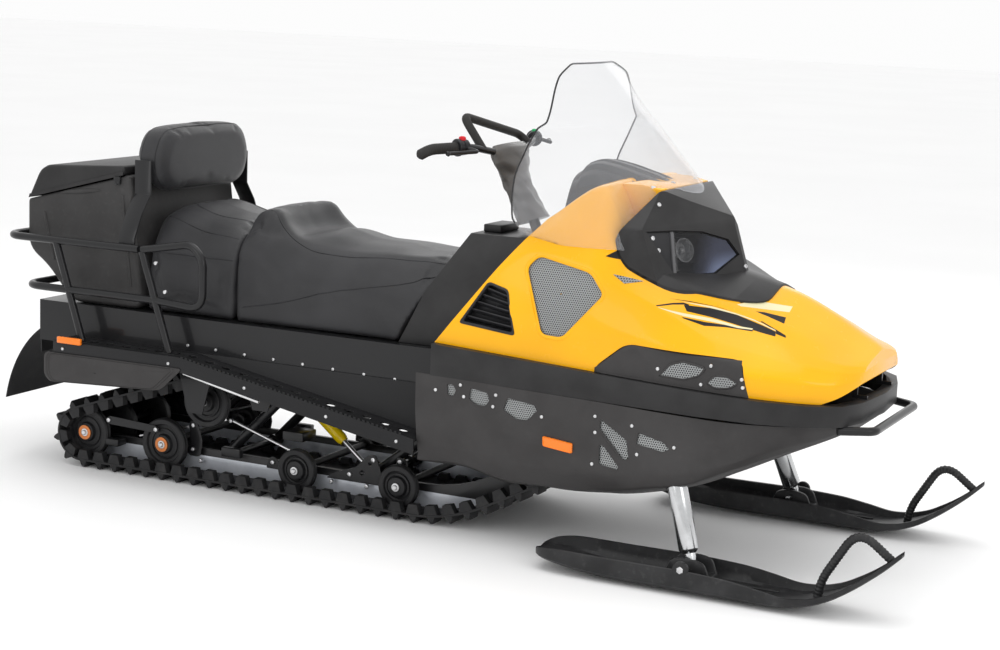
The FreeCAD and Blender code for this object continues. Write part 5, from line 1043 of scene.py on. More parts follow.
def make_lamp_pod():
    """Black lamp housing with a recess on each lamp face: dark plate with screws, bar, lamps and smoked glass."""
    housing = pod_head()
    recess = lamp_slab("recess", LENS_RECESS, [(1.02, 0.02), (1.0, -0.012)])
    bowl = lamp_slab("bowl", LENS_GLASS, [(0.96, 0.0), (0.90, -0.055)])
    carve(housing, [mirrored(recess, "recess twin"), recess, mirrored(bowl, "bowl twin"), bowl])
    housing.name = "lamp_housing"
    housing = outward(bevelled(joined("lamp_housing", [housing, pod_tongue()]), 0.003, 2, 28))
    show(housing, DARK_PLASTIC, "hood", "console_plastic", "headlight_housing", angle=24)
    glass = lamp_slab("lamp_glass_right", LENS_GLASS, [(1.0, -0.0115), (1.0, -0.0075), (0.985, -0.0065)])
    show_both(glass, LENS_CLEAR, "hood", "lens_clear", "headlight_lens", angle=30)
    plate = lamp_slab("lamp_plate_right", [(0.007, -0.005), (0.098, -0.008), (0.088, -0.131)],
                      [(1.0, -0.0118), (1.0, -0.0085), (0.97, -0.0075)])
    show_both(plate, SATIN_PLASTIC, "hood", "console_plastic", angle=30)
    bar = lamp_slab("lamp_bar_right", [(0.099, -0.006), (0.111, -0.007), (0.100, -0.137), (0.088, -0.136)],
                    [(1.0, -0.0118), (1.0, -0.0055), (0.82, -0.0035)])
    show_both(bar, BAR_PLASTIC, "hood", "console_plastic", angle=30)
    lamps = []
    for along, up, size in ((0.157, -0.061, 1.0), (0.262, -0.082, 0.8)):
        ends = on_face(along, up, -0.050), on_face(along, up, -0.016)
        reflector = np.array([(0.0, 0.0), (0.036, 0.0), (0.038, 0.5), (0.036, 0.95), (0.032, 0.97), (0.022, 0.35),
                              (0.0, 0.25)])
        bulb = np.array([(0.0, 0.2), (0.013, 0.2), (0.013, 0.55), (0.010, 0.75), (0.005, 0.85), (0.0, 0.87)])
        lamps += [spun("reflector", *ends, reflector * (size, 1), 40), spun("bulb", *ends, bulb * (size, 1), 24)]
    show_both(joined("lamps_right", lamps), CHROME, "hood", "leg_chrome", angle=30)
    screws = studs("lamp_screws_right", on_face([0.028, 0.044], [-0.022, -0.059], -0.0075), LENS_OUT, 0.0075, 0.005)
    show_both(screws, STEEL, "hood", "leg_chrome", angle=30)
    outline = filleted([(0.600, 1.060), (0.604, 1.106), (0.640, 1.112), (0.730, 1.097), (0.718, 1.070),
                        (0.672, 0.985), (0.62, 0.98)], 0.006, 3, True)
    brow = side_cutter("hood_brow", outline, 0.196)
    brow = outward(bevelled(carve(brow, [roof_prism()], "INTERSECT"), 0.003, 2, 28))
    show(brow, HOOD_YELLOW, "hood", "body_yellow", angle=24)
    laid = [studs("screws", *nearest(brow, [(0.700, -0.190, 1.10), (0.700, -0.02, 1.12), (0.700, 0.16, 1.11)]),
                  0.007, 0.004),
            studs("screws", *nearest(housing, [(0.745, -0.245, 1.06), (0.745, 0.245, 1.06), (0.95, -0.012, 0.875)]),
                  0.007, 0.004)]
    show(joined("pod_screws", laid), STEEL, "hood", "leg_chrome")


def shield_grid(inward, columns=57):
    """Windshield: at each level an arc through both edges and the middle, set inward along its radius."""
    rows = np.array([(0.0, 0.896, 0.149, 1.414), (0.135, 0.961, 0.0, 1.253), (0.347, 1.0, 0.024, 1.0),
                     (0.520, 1.0, 0.108, 0.795), (0.640, 0.977, 0.181, 0.651), (0.678, 0.878, 0.210, 0.602),
                     (0.919, 0.678, 0.205, 0.313), (1.0, 0.390, 0.188, 0.217)])
    levels = np.concatenate([np.linspace(0, 0.62, 26), np.linspace(0.63, 0.70, 10), np.linspace(0.71, 1.0, 26)])
    half, edge, middle = glide(rows[:, 0], rows[:, 1:] * (0.385, 0.415, 0.415) + (0, 0.330, 0.330), levels).T
    bow = middle - edge
    radius = (bow ** 2 + half ** 2) / (2 * bow)
    centre = middle - radius
    a = np.arctan2(half, edge - centre)[:, None] * np.linspace(-1, 1, columns)
    r = (radius - inward)[:, None]
    return np.stack([centre[:, None] + r * np.cos(a), r * np.sin(a), (0.930 + 0.519 * levels)[:, None] + 0 * a], -1)


def make_windshield():
    """Clear sheet of even thickness on the hood's upper edge, with a dark edge trim."""
    sheet = outward(modify(skin("windshield_sheet", shield_grid(0.0)), "SOLIDIFY", thickness=0.004, offset=-1.0))
    foot = modify(pod_block(), "DISPLACE", strength=0.0015, mid_level=0.0)
    outward(carve(sheet, [hood_block(0.0), foot]))
    show(sheet, SHIELD_CLEAR, "hood", "shield_clear", "windshield")
    grid = shield_grid(0.002)
    path = np.concatenate([grid[4:-1, 0], grid[-1, 1:-1] - (0, 0, 0.003), grid[:3:-1, -1][1:]])
    trim = closed_skin("windshield_trim", carried(path, ring(0.0028, 8), up=(1, 0, 0.2)))
    show(trim, SATIN_PLASTIC, "hood", "console_plastic", angle=60)


def make_cowl():
    """Dash cowl: section rings along X, their crown glides through measured heights, five folds run forward."""
    rows = np.array([(0.352, 1.040, 0.125), (0.374, 1.104, 0.135), (0.397, 1.120, 0.142), (0.418, 1.143, 0.148),
                     (0.469, 1.157, 0.152), (0.523, 1.150, 0.155), (0.590, 1.134, 0.158), (0.662, 1.113, 0.152),
                     (0.706, 1.080, 0.140)])
    places = np.linspace(rows[0, 0], rows[-1, 0], 60)
    height, half = glide(rows[:, 0], rows[:, 1:], places).T
    v = np.linspace(-1, 1, 81)
    fold = 1 - np.abs(((v * 2.5 + 0.5) % 1.0) * 2 - 1)
    depth = 0.015 * np.clip((places - 0.37) / 0.05, 0, 1) * np.clip((0.70 - places) / 0.06, 0, 1)
    top = height[:, None] - 0.052 * np.abs(v)[None] ** 2.4 - depth[:, None] * (1 - np.clip(fold * 1.6, 0, 1))[None]
    y = half[:, None] * v[None]
    x = places[:, None] + 0.035 * np.abs(v)[None] * (1 - (places[:, None] - 0.352) / 0.354)
    upper = np.stack([x, y, top], -1)
    low = np.stack([x, y * 1.02, np.ones_like(x)], -1)[:, ::-1]
    cowl = closed_skin("cowl_folded", np.concatenate([upper, low[:, ::8]], 1))
    show(cowl, DARK_PLASTIC, "hood", "console_plastic", "dash_cowl", angle=28)


# Seats and soft parts

def soft_block(name, rows, count, shift):
    """Closed pad: half lines rounded softly, mirrored, laid along X and moved by a shift of place and height."""
    places = np.linspace(rows[0][0], rows[-1][0], count)
    line = both_halves(rounded(glide([x for x, half in rows], [half for x, half in rows], places), 0.30, 5))
    x = np.broadcast_to(places[:, None], line.shape[:2])
    pad = closed_skin(name, np.stack([shift(x, line[..., 1]), line[..., 0], line[..., 1]], -1))
    return outward(bevelled(pad, 0.012, 3, 50))


def puffed(piece, swell, voxel=0.010, frames=14):
    """Padded cover: remeshed, blown up gently as cloth, held to a small swell above its foot, smoothed once."""
    modify(piece, "REMESH", mode="VOXEL", voxel_size=voxel, use_smooth_shade=True)
    before = np.empty(len(piece.data.vertices) * 3)
    piece.data.vertices.foreach_get("co", before)
    after = before.copy()
    cloth = piece.modifiers.new("cover", "CLOTH")
    cloth.settings.use_pressure = True
    cloth.settings.uniform_pressure_force = 5.0
    cloth.settings.effector_weights.gravity = 0.0
    cloth.settings.tension_stiffness = 25.0
    cloth.settings.bending_stiffness = 4.0
    cloth.point_cache.frame_start, cloth.point_cache.frame_end = 1, frames
    for step in range(1, frames + 1):
        bpy.context.scene.frame_set(step)
    piece.evaluated_get(bpy.context.evaluated_depsgraph_get()).data.vertices.foreach_get("co", after)
    piece.modifiers.clear()
    bpy.context.scene.frame_set(1)
    move = (after - before).reshape(-1, 3)
    move *= np.minimum(1.0, swell / np.maximum(np.linalg.norm(move, axis=1, keepdims=True), 1e-9))
    settled = before.reshape(-1, 3) + move
    settled[:, 2] = np.maximum(settled[:, 2], before[2::3].min())
    piece.data.vertices.foreach_set("co", settled.ravel())
    piece.data.update()
    return modify(piece, "SUBSURF", levels=1, render_levels=1)


def nearest(piece, spots):
    """Nearest points of a piece to spots, and its normals there."""
    hits = [piece.closest_point_on_mesh(spot) for spot in np.asarray(spots, float).tolist()]
    return np.array([hit[1] for hit in hits]), np.array([hit[2] for hit in hits])


def sewn(piece, points):
    """Seam line: a fine cord laid on a piece along the nearest points to a smooth guide line."""
    guide = filleted(points, 0.06, 10)
    length = np.linalg.norm(np.diff(guide, axis=0), axis=1).sum()
    laid, normal = nearest(piece, evenly(guide, max(24, int(length / 0.012)))[0])
    laid[1:-1] = (laid[:-2] + 2 * laid[1:-1] + laid[2:]) / 4
    return closed_skin("seam", carried(laid, ring(0.0016, 6), up=normal))


DRIVER_ROWS = [
    (-0.689, [(0.288, 0.5655), (0.290, 0.640), (0.277, 0.800), (0.165, 0.903), (0.090, 0.917), (0.0, 0.921)]),
    (-0.635, [(0.289, 0.5655), (0.290, 0.640), (0.277, 0.800), (0.172, 0.926), (0.090, 0.933), (0.0, 0.935)]),
    (-0.598, [(0.289, 0.5655), (0.290, 0.640), (0.277, 0.790), (0.180, 0.928), (0.100, 0.905), (0.0, 0.900)]),
    (-0.562, [(0.289, 0.5655), (0.290, 0.640), (0.277, 0.760), (0.190, 0.882), (0.105, 0.856), (0.0, 0.851)]),
    (-0.520, [(0.289, 0.5655), (0.290, 0.640), (0.277, 0.735), (0.197, 0.843), (0.110, 0.838), (0.0, 0.840)]),
    (-0.430, [(0.289, 0.5655), (0.290, 0.640), (0.277, 0.715), (0.200, 0.808), (0.105, 0.848), (0.0, 0.860)]),
    (-0.310, [(0.289, 0.5655), (0.290, 0.635), (0.275, 0.705), (0.197, 0.805), (0.105, 0.828), (0.0, 0.836)]),
    (-0.200, [(0.288, 0.5655), (0.288, 0.635), (0.270, 0.705), (0.188, 0.811), (0.100, 0.827), (0.0, 0.832)]),
    (-0.100, [(0.286, 0.5655), (0.286, 0.635), (0.262, 0.705), (0.168, 0.813), (0.090, 0.814), (0.0, 0.816)]),
    (0.032, [(0.284, 0.5655), (0.283, 0.635), (0.250, 0.710), (0.140, 0.812), (0.075, 0.818), (0.0, 0.820)]),
]
PASSENGER_ROWS = [
    (-1.040, [(0.272, 0.5655), (0.275, 0.640), (0.250, 0.740), (0.180, 0.800), (0.090, 0.815), (0.0, 0.818)]),
    (-1.022, [(0.284, 0.5655), (0.286, 0.640), (0.268, 0.780), (0.205, 0.868), (0.110, 0.892), (0.0, 0.897)]),
    (-0.985, [(0.288, 0.5655), (0.290, 0.640), (0.276, 0.790), (0.215, 0.880), (0.120, 0.908), (0.0, 0.913)]),
    (-0.925, [(0.289, 0.5655), (0.291, 0.640), (0.281, 0.780), (0.230, 0.868), (0.130, 0.898), (0.0, 0.905)]),
    (-0.830, [(0.289, 0.5655), (0.291, 0.640), (0.283, 0.770), (0.240, 0.845), (0.140, 0.872), (0.0, 0.882)]),
    (-0.740, [(0.289, 0.5655), (0.291, 0.640), (0.284, 0.765), (0.245, 0.838), (0.145, 0.862), (0.0, 0.870)]),
    (-0.693, [(0.288, 0.5655), (0.290, 0.640), (0.283, 0.762), (0.242, 0.833), (0.145, 0.858), (0.0, 0.866)]),
]

DRIVER_SEAMS = [[(-0.655, 0.30, 0.615), (-0.52, 0.30, 0.640), (-0.38, 0.30, 0.688), (-0.23, 0.30, 0.736),
                 (-0.08, 0.28, 0.780), (0.03, 0.2, 0.806)],
                [(-0.63, 0.175, 0.935), (-0.598, 0.186, 0.932), (-0.56, 0.20, 0.878), (-0.50, 0.205, 0.832),
                 (-0.43, 0.207, 0.808), (-0.30, 0.203, 0.806), (-0.10, 0.175, 0.815), (0.02, 0.145, 0.818)]]
PASSENGER_SEAMS = [[(-1.0, 0.215, 0.885), (-0.96, 0.225, 0.880), (-0.90, 0.235, 0.862), (-0.83, 0.243, 0.847),
                    (-0.70, 0.247, 0.836)],
                   [(-1.03, 0.30, 0.765), (-0.90, 0.30, 0.770), (-0.70, 0.30, 0.768)]]
PASSENGER_LOOP = [(-0.70, -0.10, 0.87), (-0.88, -0.14, 0.89), (-0.965, -0.12, 0.91), (-0.975, 0.0, 0.92),
                  (-0.965, 0.12, 0.91), (-0.88, 0.14, 0.89), (-0.70, 0.10, 0.87)]


def make_seats():
    """Driver's seat with a scooped hump behind and a sloping front end, passenger's seat, and their seams."""
    rear, front = DRIVER_ROWS[0][0], DRIVER_ROWS[-1][0]

    def slope(x, z):
        end = np.minimum(-0.0862 + (z - 0.5653) * 0.4603, front + 0.002)
        return rear + (x - rear) * (end - rear) / (front - rear)

    driver = puffed(soft_block("driver_seat", DRIVER_ROWS, 110, slope), 0.006)
    passenger = puffed(soft_block("passenger_seat", PASSENGER_ROWS, 70, lambda x, z: x), 0.006)
    for piece, node in ((driver, "seat_driver"), (passenger, "seat_passenger")):
        show(piece, SEAT_VINYL, "chassis", "seat_vinyl", node, angle=50)
    seams = [sewn(piece, np.array(line) * (1, side, 1)) for side in (-1, 1)
             for piece, lines in ((driver, DRIVER_SEAMS), (passenger, PASSENGER_SEAMS)) for line in lines]
    seams.append(sewn(passenger, PASSENGER_LOOP))
    show(joined("seat_seams", seams), SATIN_PLASTIC, "chassis", "seat_vinyl", angle=60)


def make_backrest():
    """Backrest pad: a rounded outline shrunk over a crowned face on both sides of its boxing, and its seams."""
    outline = filleted([(-0.262, 0.990), (-0.205, 0.950), (0.205, 0.950), (0.262, 0.990), (0.281, 1.07),
                        (0.235, 1.160), (0.120, 1.169), (-0.120, 1.169), (-0.235, 1.160),
                        (-0.281, 1.07)], 0.085, 8, True)
    centre = np.array([0.0, 1.055])
    share, face = np.array([(0.02, -1.106), (0.5, -1.1055), (0.85, -1.101), (0.955, -1.090), (0.995, -1.070),
                            (1.0, -1.045), (0.995, -1.022), (0.962, -1.004), (0.86, -0.9945), (0.5, -0.9915),
                            (0.02, -0.991)]).T
    flat = centre + (outline - centre) * share[:, None, None]
    lean = np.clip((1.078 - flat[..., 1]) / 0.130, 0, 1) * 0.062
    x = face[:, None] + lean * np.clip((-1.045 - face[:, None]) / 0.06, 0, 1)
    pad = puffed(closed_skin("backrest_cushion", np.insert(flat, 0, x, axis=2)), 0.007, 0.009)
    show(pad, SEAT_VINYL, "chassis", "seat_vinyl", "backrest_pad", angle=50)
    seams = []
    for at in (-1.012, -1.075):
        laid = nearest(pad, np.insert(centre + (outline - centre) * 1.02, 0, at, axis=1))[0]
        laid = (np.roll(laid, 1, 0) + 2 * laid + np.roll(laid, -1, 0)) / 4
        seams.append(closed_skin("seam", carried(laid, ring(0.0019, 6), True, (1, 0, 0)), along=True))
    show(joined("backrest_seams", seams), SATIN_PLASTIC, "chassis", "seat_vinyl", angle=60)


# Rear: box, rack, boards and lamps

def make_box():
    """Cargo box and lid: side outlines across the machine, edges rounded, hollowed from the open side."""
    wall, half = 0.005, 0.298
    path = filleted([(-1.512, 0.900), (-1.512, 0.7327), (-1.4283, 0.6769), (-1.330, 0.5653), (-1.040, 0.5653),
                     (-1.094, 1.004)], 0.045, 6)
    tub = bevelled(prism("cargo_tub", np.vstack([path, (-1.118, 1.004)]), -half, half), 0.014, 4, 60)
    path = filleted([(-1.507, 0.93), (-1.507, 0.735), (-1.425, 0.681), (-1.328, 0.5705), (-1.0465, 0.5705),
                     (-1.0985, 0.999)], 0.04, 6)
    carve(tub, [prism("room", np.vstack([path, [(-1.118, 0.999), (-1.118, 1.03)]]), -half + wall, half - wall)])
    show(outward(tub), BOX_PLASTIC, "chassis", "box_plastic", "cargo_box", angle=30)
    hinge = edged_part("lid_pin", [((-1.106, -0.208, 1.016), (-1.106, 0.208, 1.016), 0.005)]
                       + [((-1.111, y, 1.004), (-1.101, y + 0.009, 1.016)) for y in (-0.199, -0.0045, 0.190)])
    show(hinge, STEEL, "chassis", "leg_chrome", angle=35)
    top = filleted([(-1.1183, 1.036), (-1.454, 1.016), (-1.512, 0.9003)], 0.04, 6)
    lid = bevelled(prism("lid_shell", np.vstack([(-1.1183, 1.0043), top]), -half, half), 0.012, 4, 38)
    hollow = [(-1.1233, 0.98), (-1.1233, 1.0305), (-1.451, 1.0112), (-1.5045, 0.9035), (-1.514, 0.880)]
    carve(lid, [prism("hollow", hollow, -half + wall, half - wall)])
    lip = [(-1.1183, 1.0058), (-1.505, 0.9020), (-1.501, 0.9150), (-1.1183, 1.0185)]
    ear = [(-1.124, 1.008), (-1.106, 1.008), (-1.099, 1.013), (-1.098, 1.019), (-1.106, 1.024), (-1.124, 1.024)]
    edges = [prism("lip", lip, y, y + 0.0035) for y in (-half - 0.003, half - 0.0005)]
    edges += [prism("ear", ear, y, y + 0.009) for y in (-0.1855, 0.1765)]
    show(outward(joined("lid_shell", [lid] + edges)), DARK_PLASTIC, "box_lid", "box_plastic", "cargo_lid", angle=30)
    ridges, latches = [], []
    a = np.linspace(0, math.pi, 7)
    oval = np.stack([0.009 * np.cos(a), 0.007 * np.sin(a) - 0.002], -1)
    swell = np.maximum(np.sin(np.linspace(0, math.pi, 20)) ** 0.5, 0.12)
    for side in (-1, 1):
        line = np.linspace((-1.375, side * half, 0.9285), (-1.205, side * half, 0.950), 20)
        ridges.append(swollen("grip ridge", line, oval, swell, (0, side, 0)))
        for x0, z0, x1, z1 in ((-1.44, 0.86, -1.40, 0.70), (-1.12, 0.94, -1.085, 0.64)):
            rib = [(x0, side * (half - 0.001), z0), (x1, side * (half - 0.001), z1)]
            ridges.append(tube("rib", rib, 0.005, 0, 10))
        latches.append(edged_part("latch", [((-1.150, side * 0.3045 - 0.004, 0.975),
                                             (-1.126, side * 0.3045 + 0.004, 1.000))]))
        catch = [(-1.150, side * 0.304, 0.992), (-1.138, side * 0.309, 0.972), (-1.126, side * 0.304, 0.992)]
        latches.append(tube("catch", catch, 0.003, 0.008, 8))
    show(joined("box_ridges", ridges), BOX_PLASTIC, "chassis", "box_plastic", angle=50)
    show(joined("box_latches", latches), BLACK_PAINT, "chassis", "steel_black")


def edged_part(name, shapes, width=0.0012):
    """One mesh from blocks (two corners) and rods (two ends and a radius) with slightly rounded edges."""
    parts = []
    for start, end, *radius in shapes:
        if radius:
            parts.append(tube("rod", [start, end], radius[0], 0, 20))
            continue
        (x0, y0, z0), (x1, y1, z1) = start, end
        block = prism("block", [(x0, z0), (x1, z0), (x1, z1), (x0, z1)], min(y0, y1), max(y0, y1))
        parts.append(modify(block, "BEVEL", width=width, segments=2))
    return joined(name, parts)


def make_rack():
    """Tube rack, its posts with bolted brackets, and the passenger's hand loops."""
    def bow(name, front, rear, height):
        corners = [(front, -RACK_Y, height), (rear, -RACK_Y, height), (rear, RACK_Y, height),
                   (front, RACK_Y, height)]
        return tube(name, corners, RACK_TUBE, 0.07, 24, 12)

    show(bow("rack_rail", -0.990, -1.530, 0.782), BLACK_PAINT, "chassis", "steel_black", "rack_top_rail", angle=60)
    parts = [bow("mid", -0.9228, -1.452, 0.622)]
    for y in (-RACK_Y, RACK_Y):
        parts += [tube("post", [(x0, y, 0.456), (x1, y, 0.776)], RACK_TUBE, 0, 24) for x0,
                  x1 in ((-1.215, -1.322), (-0.868, -0.9775))]
        parts += [edged_part("foot", [((x - 0.028, y - 0.014, 0.4505), (x + 0.028, y + 0.014, 0.456))])
                  for x in (-1.215, -0.868)]
    show(joined("rack_posts", parts), BLACK_PAINT, "chassis", "steel_black", "rack_frame", angle=60)
    loop = tube("hand_loop_right", [(-0.9775, -RACK_Y, 0.782), (-0.787, -RACK_Y, 0.816), (-0.742, -RACK_Y, 0.771),
                                    (-0.742, -RACK_Y, 0.6095), (-0.9228, -RACK_Y, 0.622)], RACK_TUBE, 0.055, 24, 12)
    show_both(loop, BLACK_PAINT, "chassis", "steel_black", "grab_loops", angle=60)
    show(paired_studs("rack_bolts", [(-0.915, -0.3985, 0.745), (-0.878, -0.3985, 0.655)], 0.0065, 0.004), STEEL,
         "chassis", "leg_chrome")


RACK_Y, RACK_TUBE = 0.386, 0.0125


def paired_studs(name, spots, radius, height):
    """Studs on both sides of the machine, facing outwards."""
    spots = np.array(spots)
    sides = np.repeat([(0.0, -1.0, 0.0), (0.0, 1.0, 0.0)], len(spots), axis=0)
    return studs(name, np.vstack([spots, spots * (1, -1, 1)]), sides, radius, height)


def board_top(x):
    """Height of the running board's upper edge: level behind, falling towards the nose."""
    return 0.455 - 0.152 * max(x + 0.8, 0.0) / 0.858


def make_board_edges():
    """Row of teeth on the sloping edge of each running board and the bright bead along its lip."""
    tooth = [(x + dx, board_top(x + dx) + dz) for x in np.arange(-0.795, 0.02, 0.016)
             for dx, dz in ((0.0, 0.0), (0.002, 0.0055), (0.009, 0.0055), (0.011, 0.0))]
    low = [(x, board_top(x) - 0.006) for x in (0.02, -0.795)]
    show_both(prism("board_teeth_right", tooth + low, -0.4290, -0.4250), BOARD_PAINT, "chassis", "steel_black",
              angle=30)
    line = [(-0.785, -0.4240, 0.4040), (-0.500, -0.4240, board_top(-0.500) - 0.0560)]
    show_both(tube("board_bead_right", line, 0.0050, 0, 12), STEEL, "chassis", "leg_chrome", angle=30)


def make_rear_sides():
    """Grey valances with a grooved border, and bolts along the tunnel and the boards."""
    outline = filleted([(-1.335, 0.4155), (-0.784, 0.420), (-0.872, 0.338), (-1.313, 0.316), (-1.335, 0.338)],
                       0.022, 6, True)
    panel = tray("valance_right", outline, [(0.99, -0.001), (1.0, 0.0), (1.0, 0.0025), (0.988, 0.004),
                                            (0.945, 0.004), (0.940, 0.0028), (0.930, 0.0028), (0.925, 0.004),
                                            (0.905, 0.004), (0.900, 0.0028), (0.890, 0.0028), (0.885, 0.004),
                                            (0.02, 0.004)],
                 lambda flat, proud: np.insert(flat, 1, -0.4302 - proud, axis=2))
    show_both(panel, GREY_PLASTIC, "chassis", "belly_plastic", "side_valances")
    spots = [(x, -0.3225, 0.474 + (x + 0.84) * -0.024)
             for x in (-0.839, -0.731, -0.621, -0.512, -0.403, -0.292, -0.18, -0.07)]
    spots += [(x, -0.3225, 0.428 + (x + 0.632) * -0.036) for x in (-0.632, -0.550, -0.467, -0.384, -0.300)]
    spots += [(x, -0.4305, board_top(x) - 0.024) for x in (-1.26, -0.84, -0.55, -0.25, 0.0)]
    show(paired_studs("board_bolts", spots, 0.0055, 0.0035), STEEL, "chassis", "leg_chrome")


# Track, wheels and suspension

BELT_CIRCLES = np.array([(-1.290, 0.116, 0.086), (-0.020, 0.590, 0.560), (0.430, 0.296, 0.092),
                         (-0.810, 0.280, 0.086)])


def belt_path(pitch):
    """Even points of the belt's inner line and their outward angles: arcs round four circles joined by tangents."""
    step = np.roll(BELT_CIRCLES, -1, 0) - BELT_CIRCLES
    finish = np.arctan2(step[:, 1], step[:, 0]) - np.arccos(-step[:, 2] / np.hypot(step[:, 0], step[:, 1]))
    begin = np.roll(finish, 1)
    finish = begin + (finish - begin) % (2 * math.pi)
    turn = np.linspace(begin, finish, 60).T
    out = np.stack([np.cos(turn), np.sin(turn)], -1)
    loop = (BELT_CIRCLES[:, None, :2] + BELT_CIRCLES[:, None, 2:] * out).reshape(-1, 2)
    loop = np.vstack([loop, loop[:1]])
    angles = np.unwrap(np.append(turn, turn[0, 0]))
    length = np.concatenate([[0], np.linalg.norm(np.diff(loop, axis=0), axis=1).cumsum()])
    count = round(length[-1] / pitch)
    at = np.arange(count) * length[-1] / count
    return np.stack([np.interp(at, length, values) for values in loop.T], -1), np.interp(at, length, angles)


def placed(name, spots, angles, local, faces):
    """Copies of a small closed mesh (out, across, along) at points of the belt, turned to their outward angles."""
    c, s = np.cos(angles)[:, None], np.sin(angles)[:, None]
    out, across, along = local.T
    points = np.stack([spots[:, :1] + c * out - s * along, across + 0 * c, spots[:, 1:] + s * out + c * along], -1)
    faces = np.asarray(faces) + (np.arange(len(spots)) * len(local))[:, None, None]
    return outward(surface(name, points, faces.reshape(-1, 4)))


def lug_shape(sections):
    """Closed bar across the belt from sections (across, half foot, half top, height)."""
    grid = np.array([[(0.004, across, -foot), (0.007 + height * 0.55, across, -foot * 0.55 - top * 0.45),
                      (0.007 + height, across, -top), (0.007 + height, across, top),
                      (0.007 + height * 0.35, across, foot * 0.9), (0.004, across, foot)]
                     for across, foot, top, height in sections])
    rows, count = grid.shape[:2]
    ends = np.array([(0, 1, 2, 3), (0, 3, 4, 5)])
    return grid.reshape(-1, 3), np.vstack([quads(rows, count, around=True), ends,
                                           ends[:, ::-1] + (rows - 1) * count])


def make_track():
    """Rubber belt: a band round the wheels, outer lugs of two patterns and inner guide blocks."""
    spots, angles = belt_path(0.008)
    profile = np.array([(0.0, -0.299), (0.0, 0.299), (0.001, 0.300), (0.006, 0.300), (0.007, 0.299),
                        (0.007, -0.299), (0.006, -0.300), (0.001, -0.300)])
    c, s, out = np.cos(angles)[:, None], np.sin(angles)[:, None], profile[:, 0]
    grid = np.stack([spots[:, :1] + c * out, profile[:, 1] + 0 * c, spots[:, 1:] + s * out], -1)
    parts = [closed_skin("belt", grid, along=True)]
    spots, angles = belt_path(0.064)
    even = np.arange(len(spots)) % 2 == 0
    edge = [(0.292, 0.014, 0.0026, 0.022), (0.299, 0.013, 0.0024, 0.019)]
    high, low = (0.014, 0.0026, 0.023), (0.011, 0.003, 0.013)
    blocks = [(0.020, *high), (0.110, *high), (0.120, *low), (0.205, *low), (0.215, *high)] + edge
    gaps = [(0.070, 0.011, 0.003, 0.012), (0.080, *high), (0.180, *high), (0.190, 0.011, 0.003, 0.012),
            (0.230, 0.011, 0.003, 0.012), (0.240, 0.014, 0.0026, 0.022)] + edge
    for chosen, middle, half in ((even, [(0.0, 0.011, 0.003, 0.016)], blocks), (~even, [], gaps)):
        left = [(-across, *rest) for across, *rest in half[::-1]]
        parts.append(placed("lugs", spots[chosen], angles[chosen], *lug_shape(left + middle + half)))
    faces = [(0, 1, 3, 2), (4, 6, 7, 5), (0, 4, 5, 1), (2, 3, 7, 6), (0, 2, 6, 4), (1, 5, 7, 3)]
    for y0, y1, height in ((-0.298, -0.273, 0.030), (0.273, 0.298, 0.030),
                           (-0.170, -0.150, 0.020), (0.150, 0.170, 0.020)):
        corners = np.array([(out, y, along) for out, half in ((0.001, 0.024), (-height, 0.015))
                            for y in (y0, y1) for along in (-half, half)])
        parts.append(placed("guides", spots, angles, corners, faces))
    show(joined("track_belt", parts), TRACK_RUBBER, "chassis", "track_rubber", "track", angle=35)


def wheel(x, z, r, side):
    """Wheel and its bolt cap turned about the axle: grooved rubber tyre, webbed disc with a raised ring and hub."""
    half = 0.013
    tyre = [(r - 0.020, -half + 0.002), (r - 0.018, -half), (r - 0.004, -half), (r, -half + 0.004), (r, -0.003),
            (r - 0.002, -0.0015),
            (r - 0.002, 0.0015), (r, 0.003), (r, half - 0.004), (r - 0.004, half), (r - 0.018, half),
            (r - 0.020, half - 0.002)]
    disc = [(r - 0.0205, half - 0.003), (r - 0.023, 0.005), (r * 0.62, 0.004), (r * 0.60, 0.008), (r * 0.55, 0.009),
            (r * 0.53, 0.005), (0.034, 0.006), (0.030, 0.017), (0.026, 0.019), (0.0, 0.019)]
    cap = [(0.0, 0.021), (0.0, 0.031), (0.006, 0.031), (0.008, 0.029), (0.009, 0.0245), (0.013, 0.024),
           (0.0135, 0.021), (0.0, 0.0195)]
    axle = (x, side * 0.250, z), (x, side * 1.250, z)
    body = spun("disc", *axle, [(q, -p) for q, p in disc[::-1]] + disc, 56)
    return [body, spun("tyre", *axle, tyre, 64, True)], spun("cap", *axle, cap, 24), axle


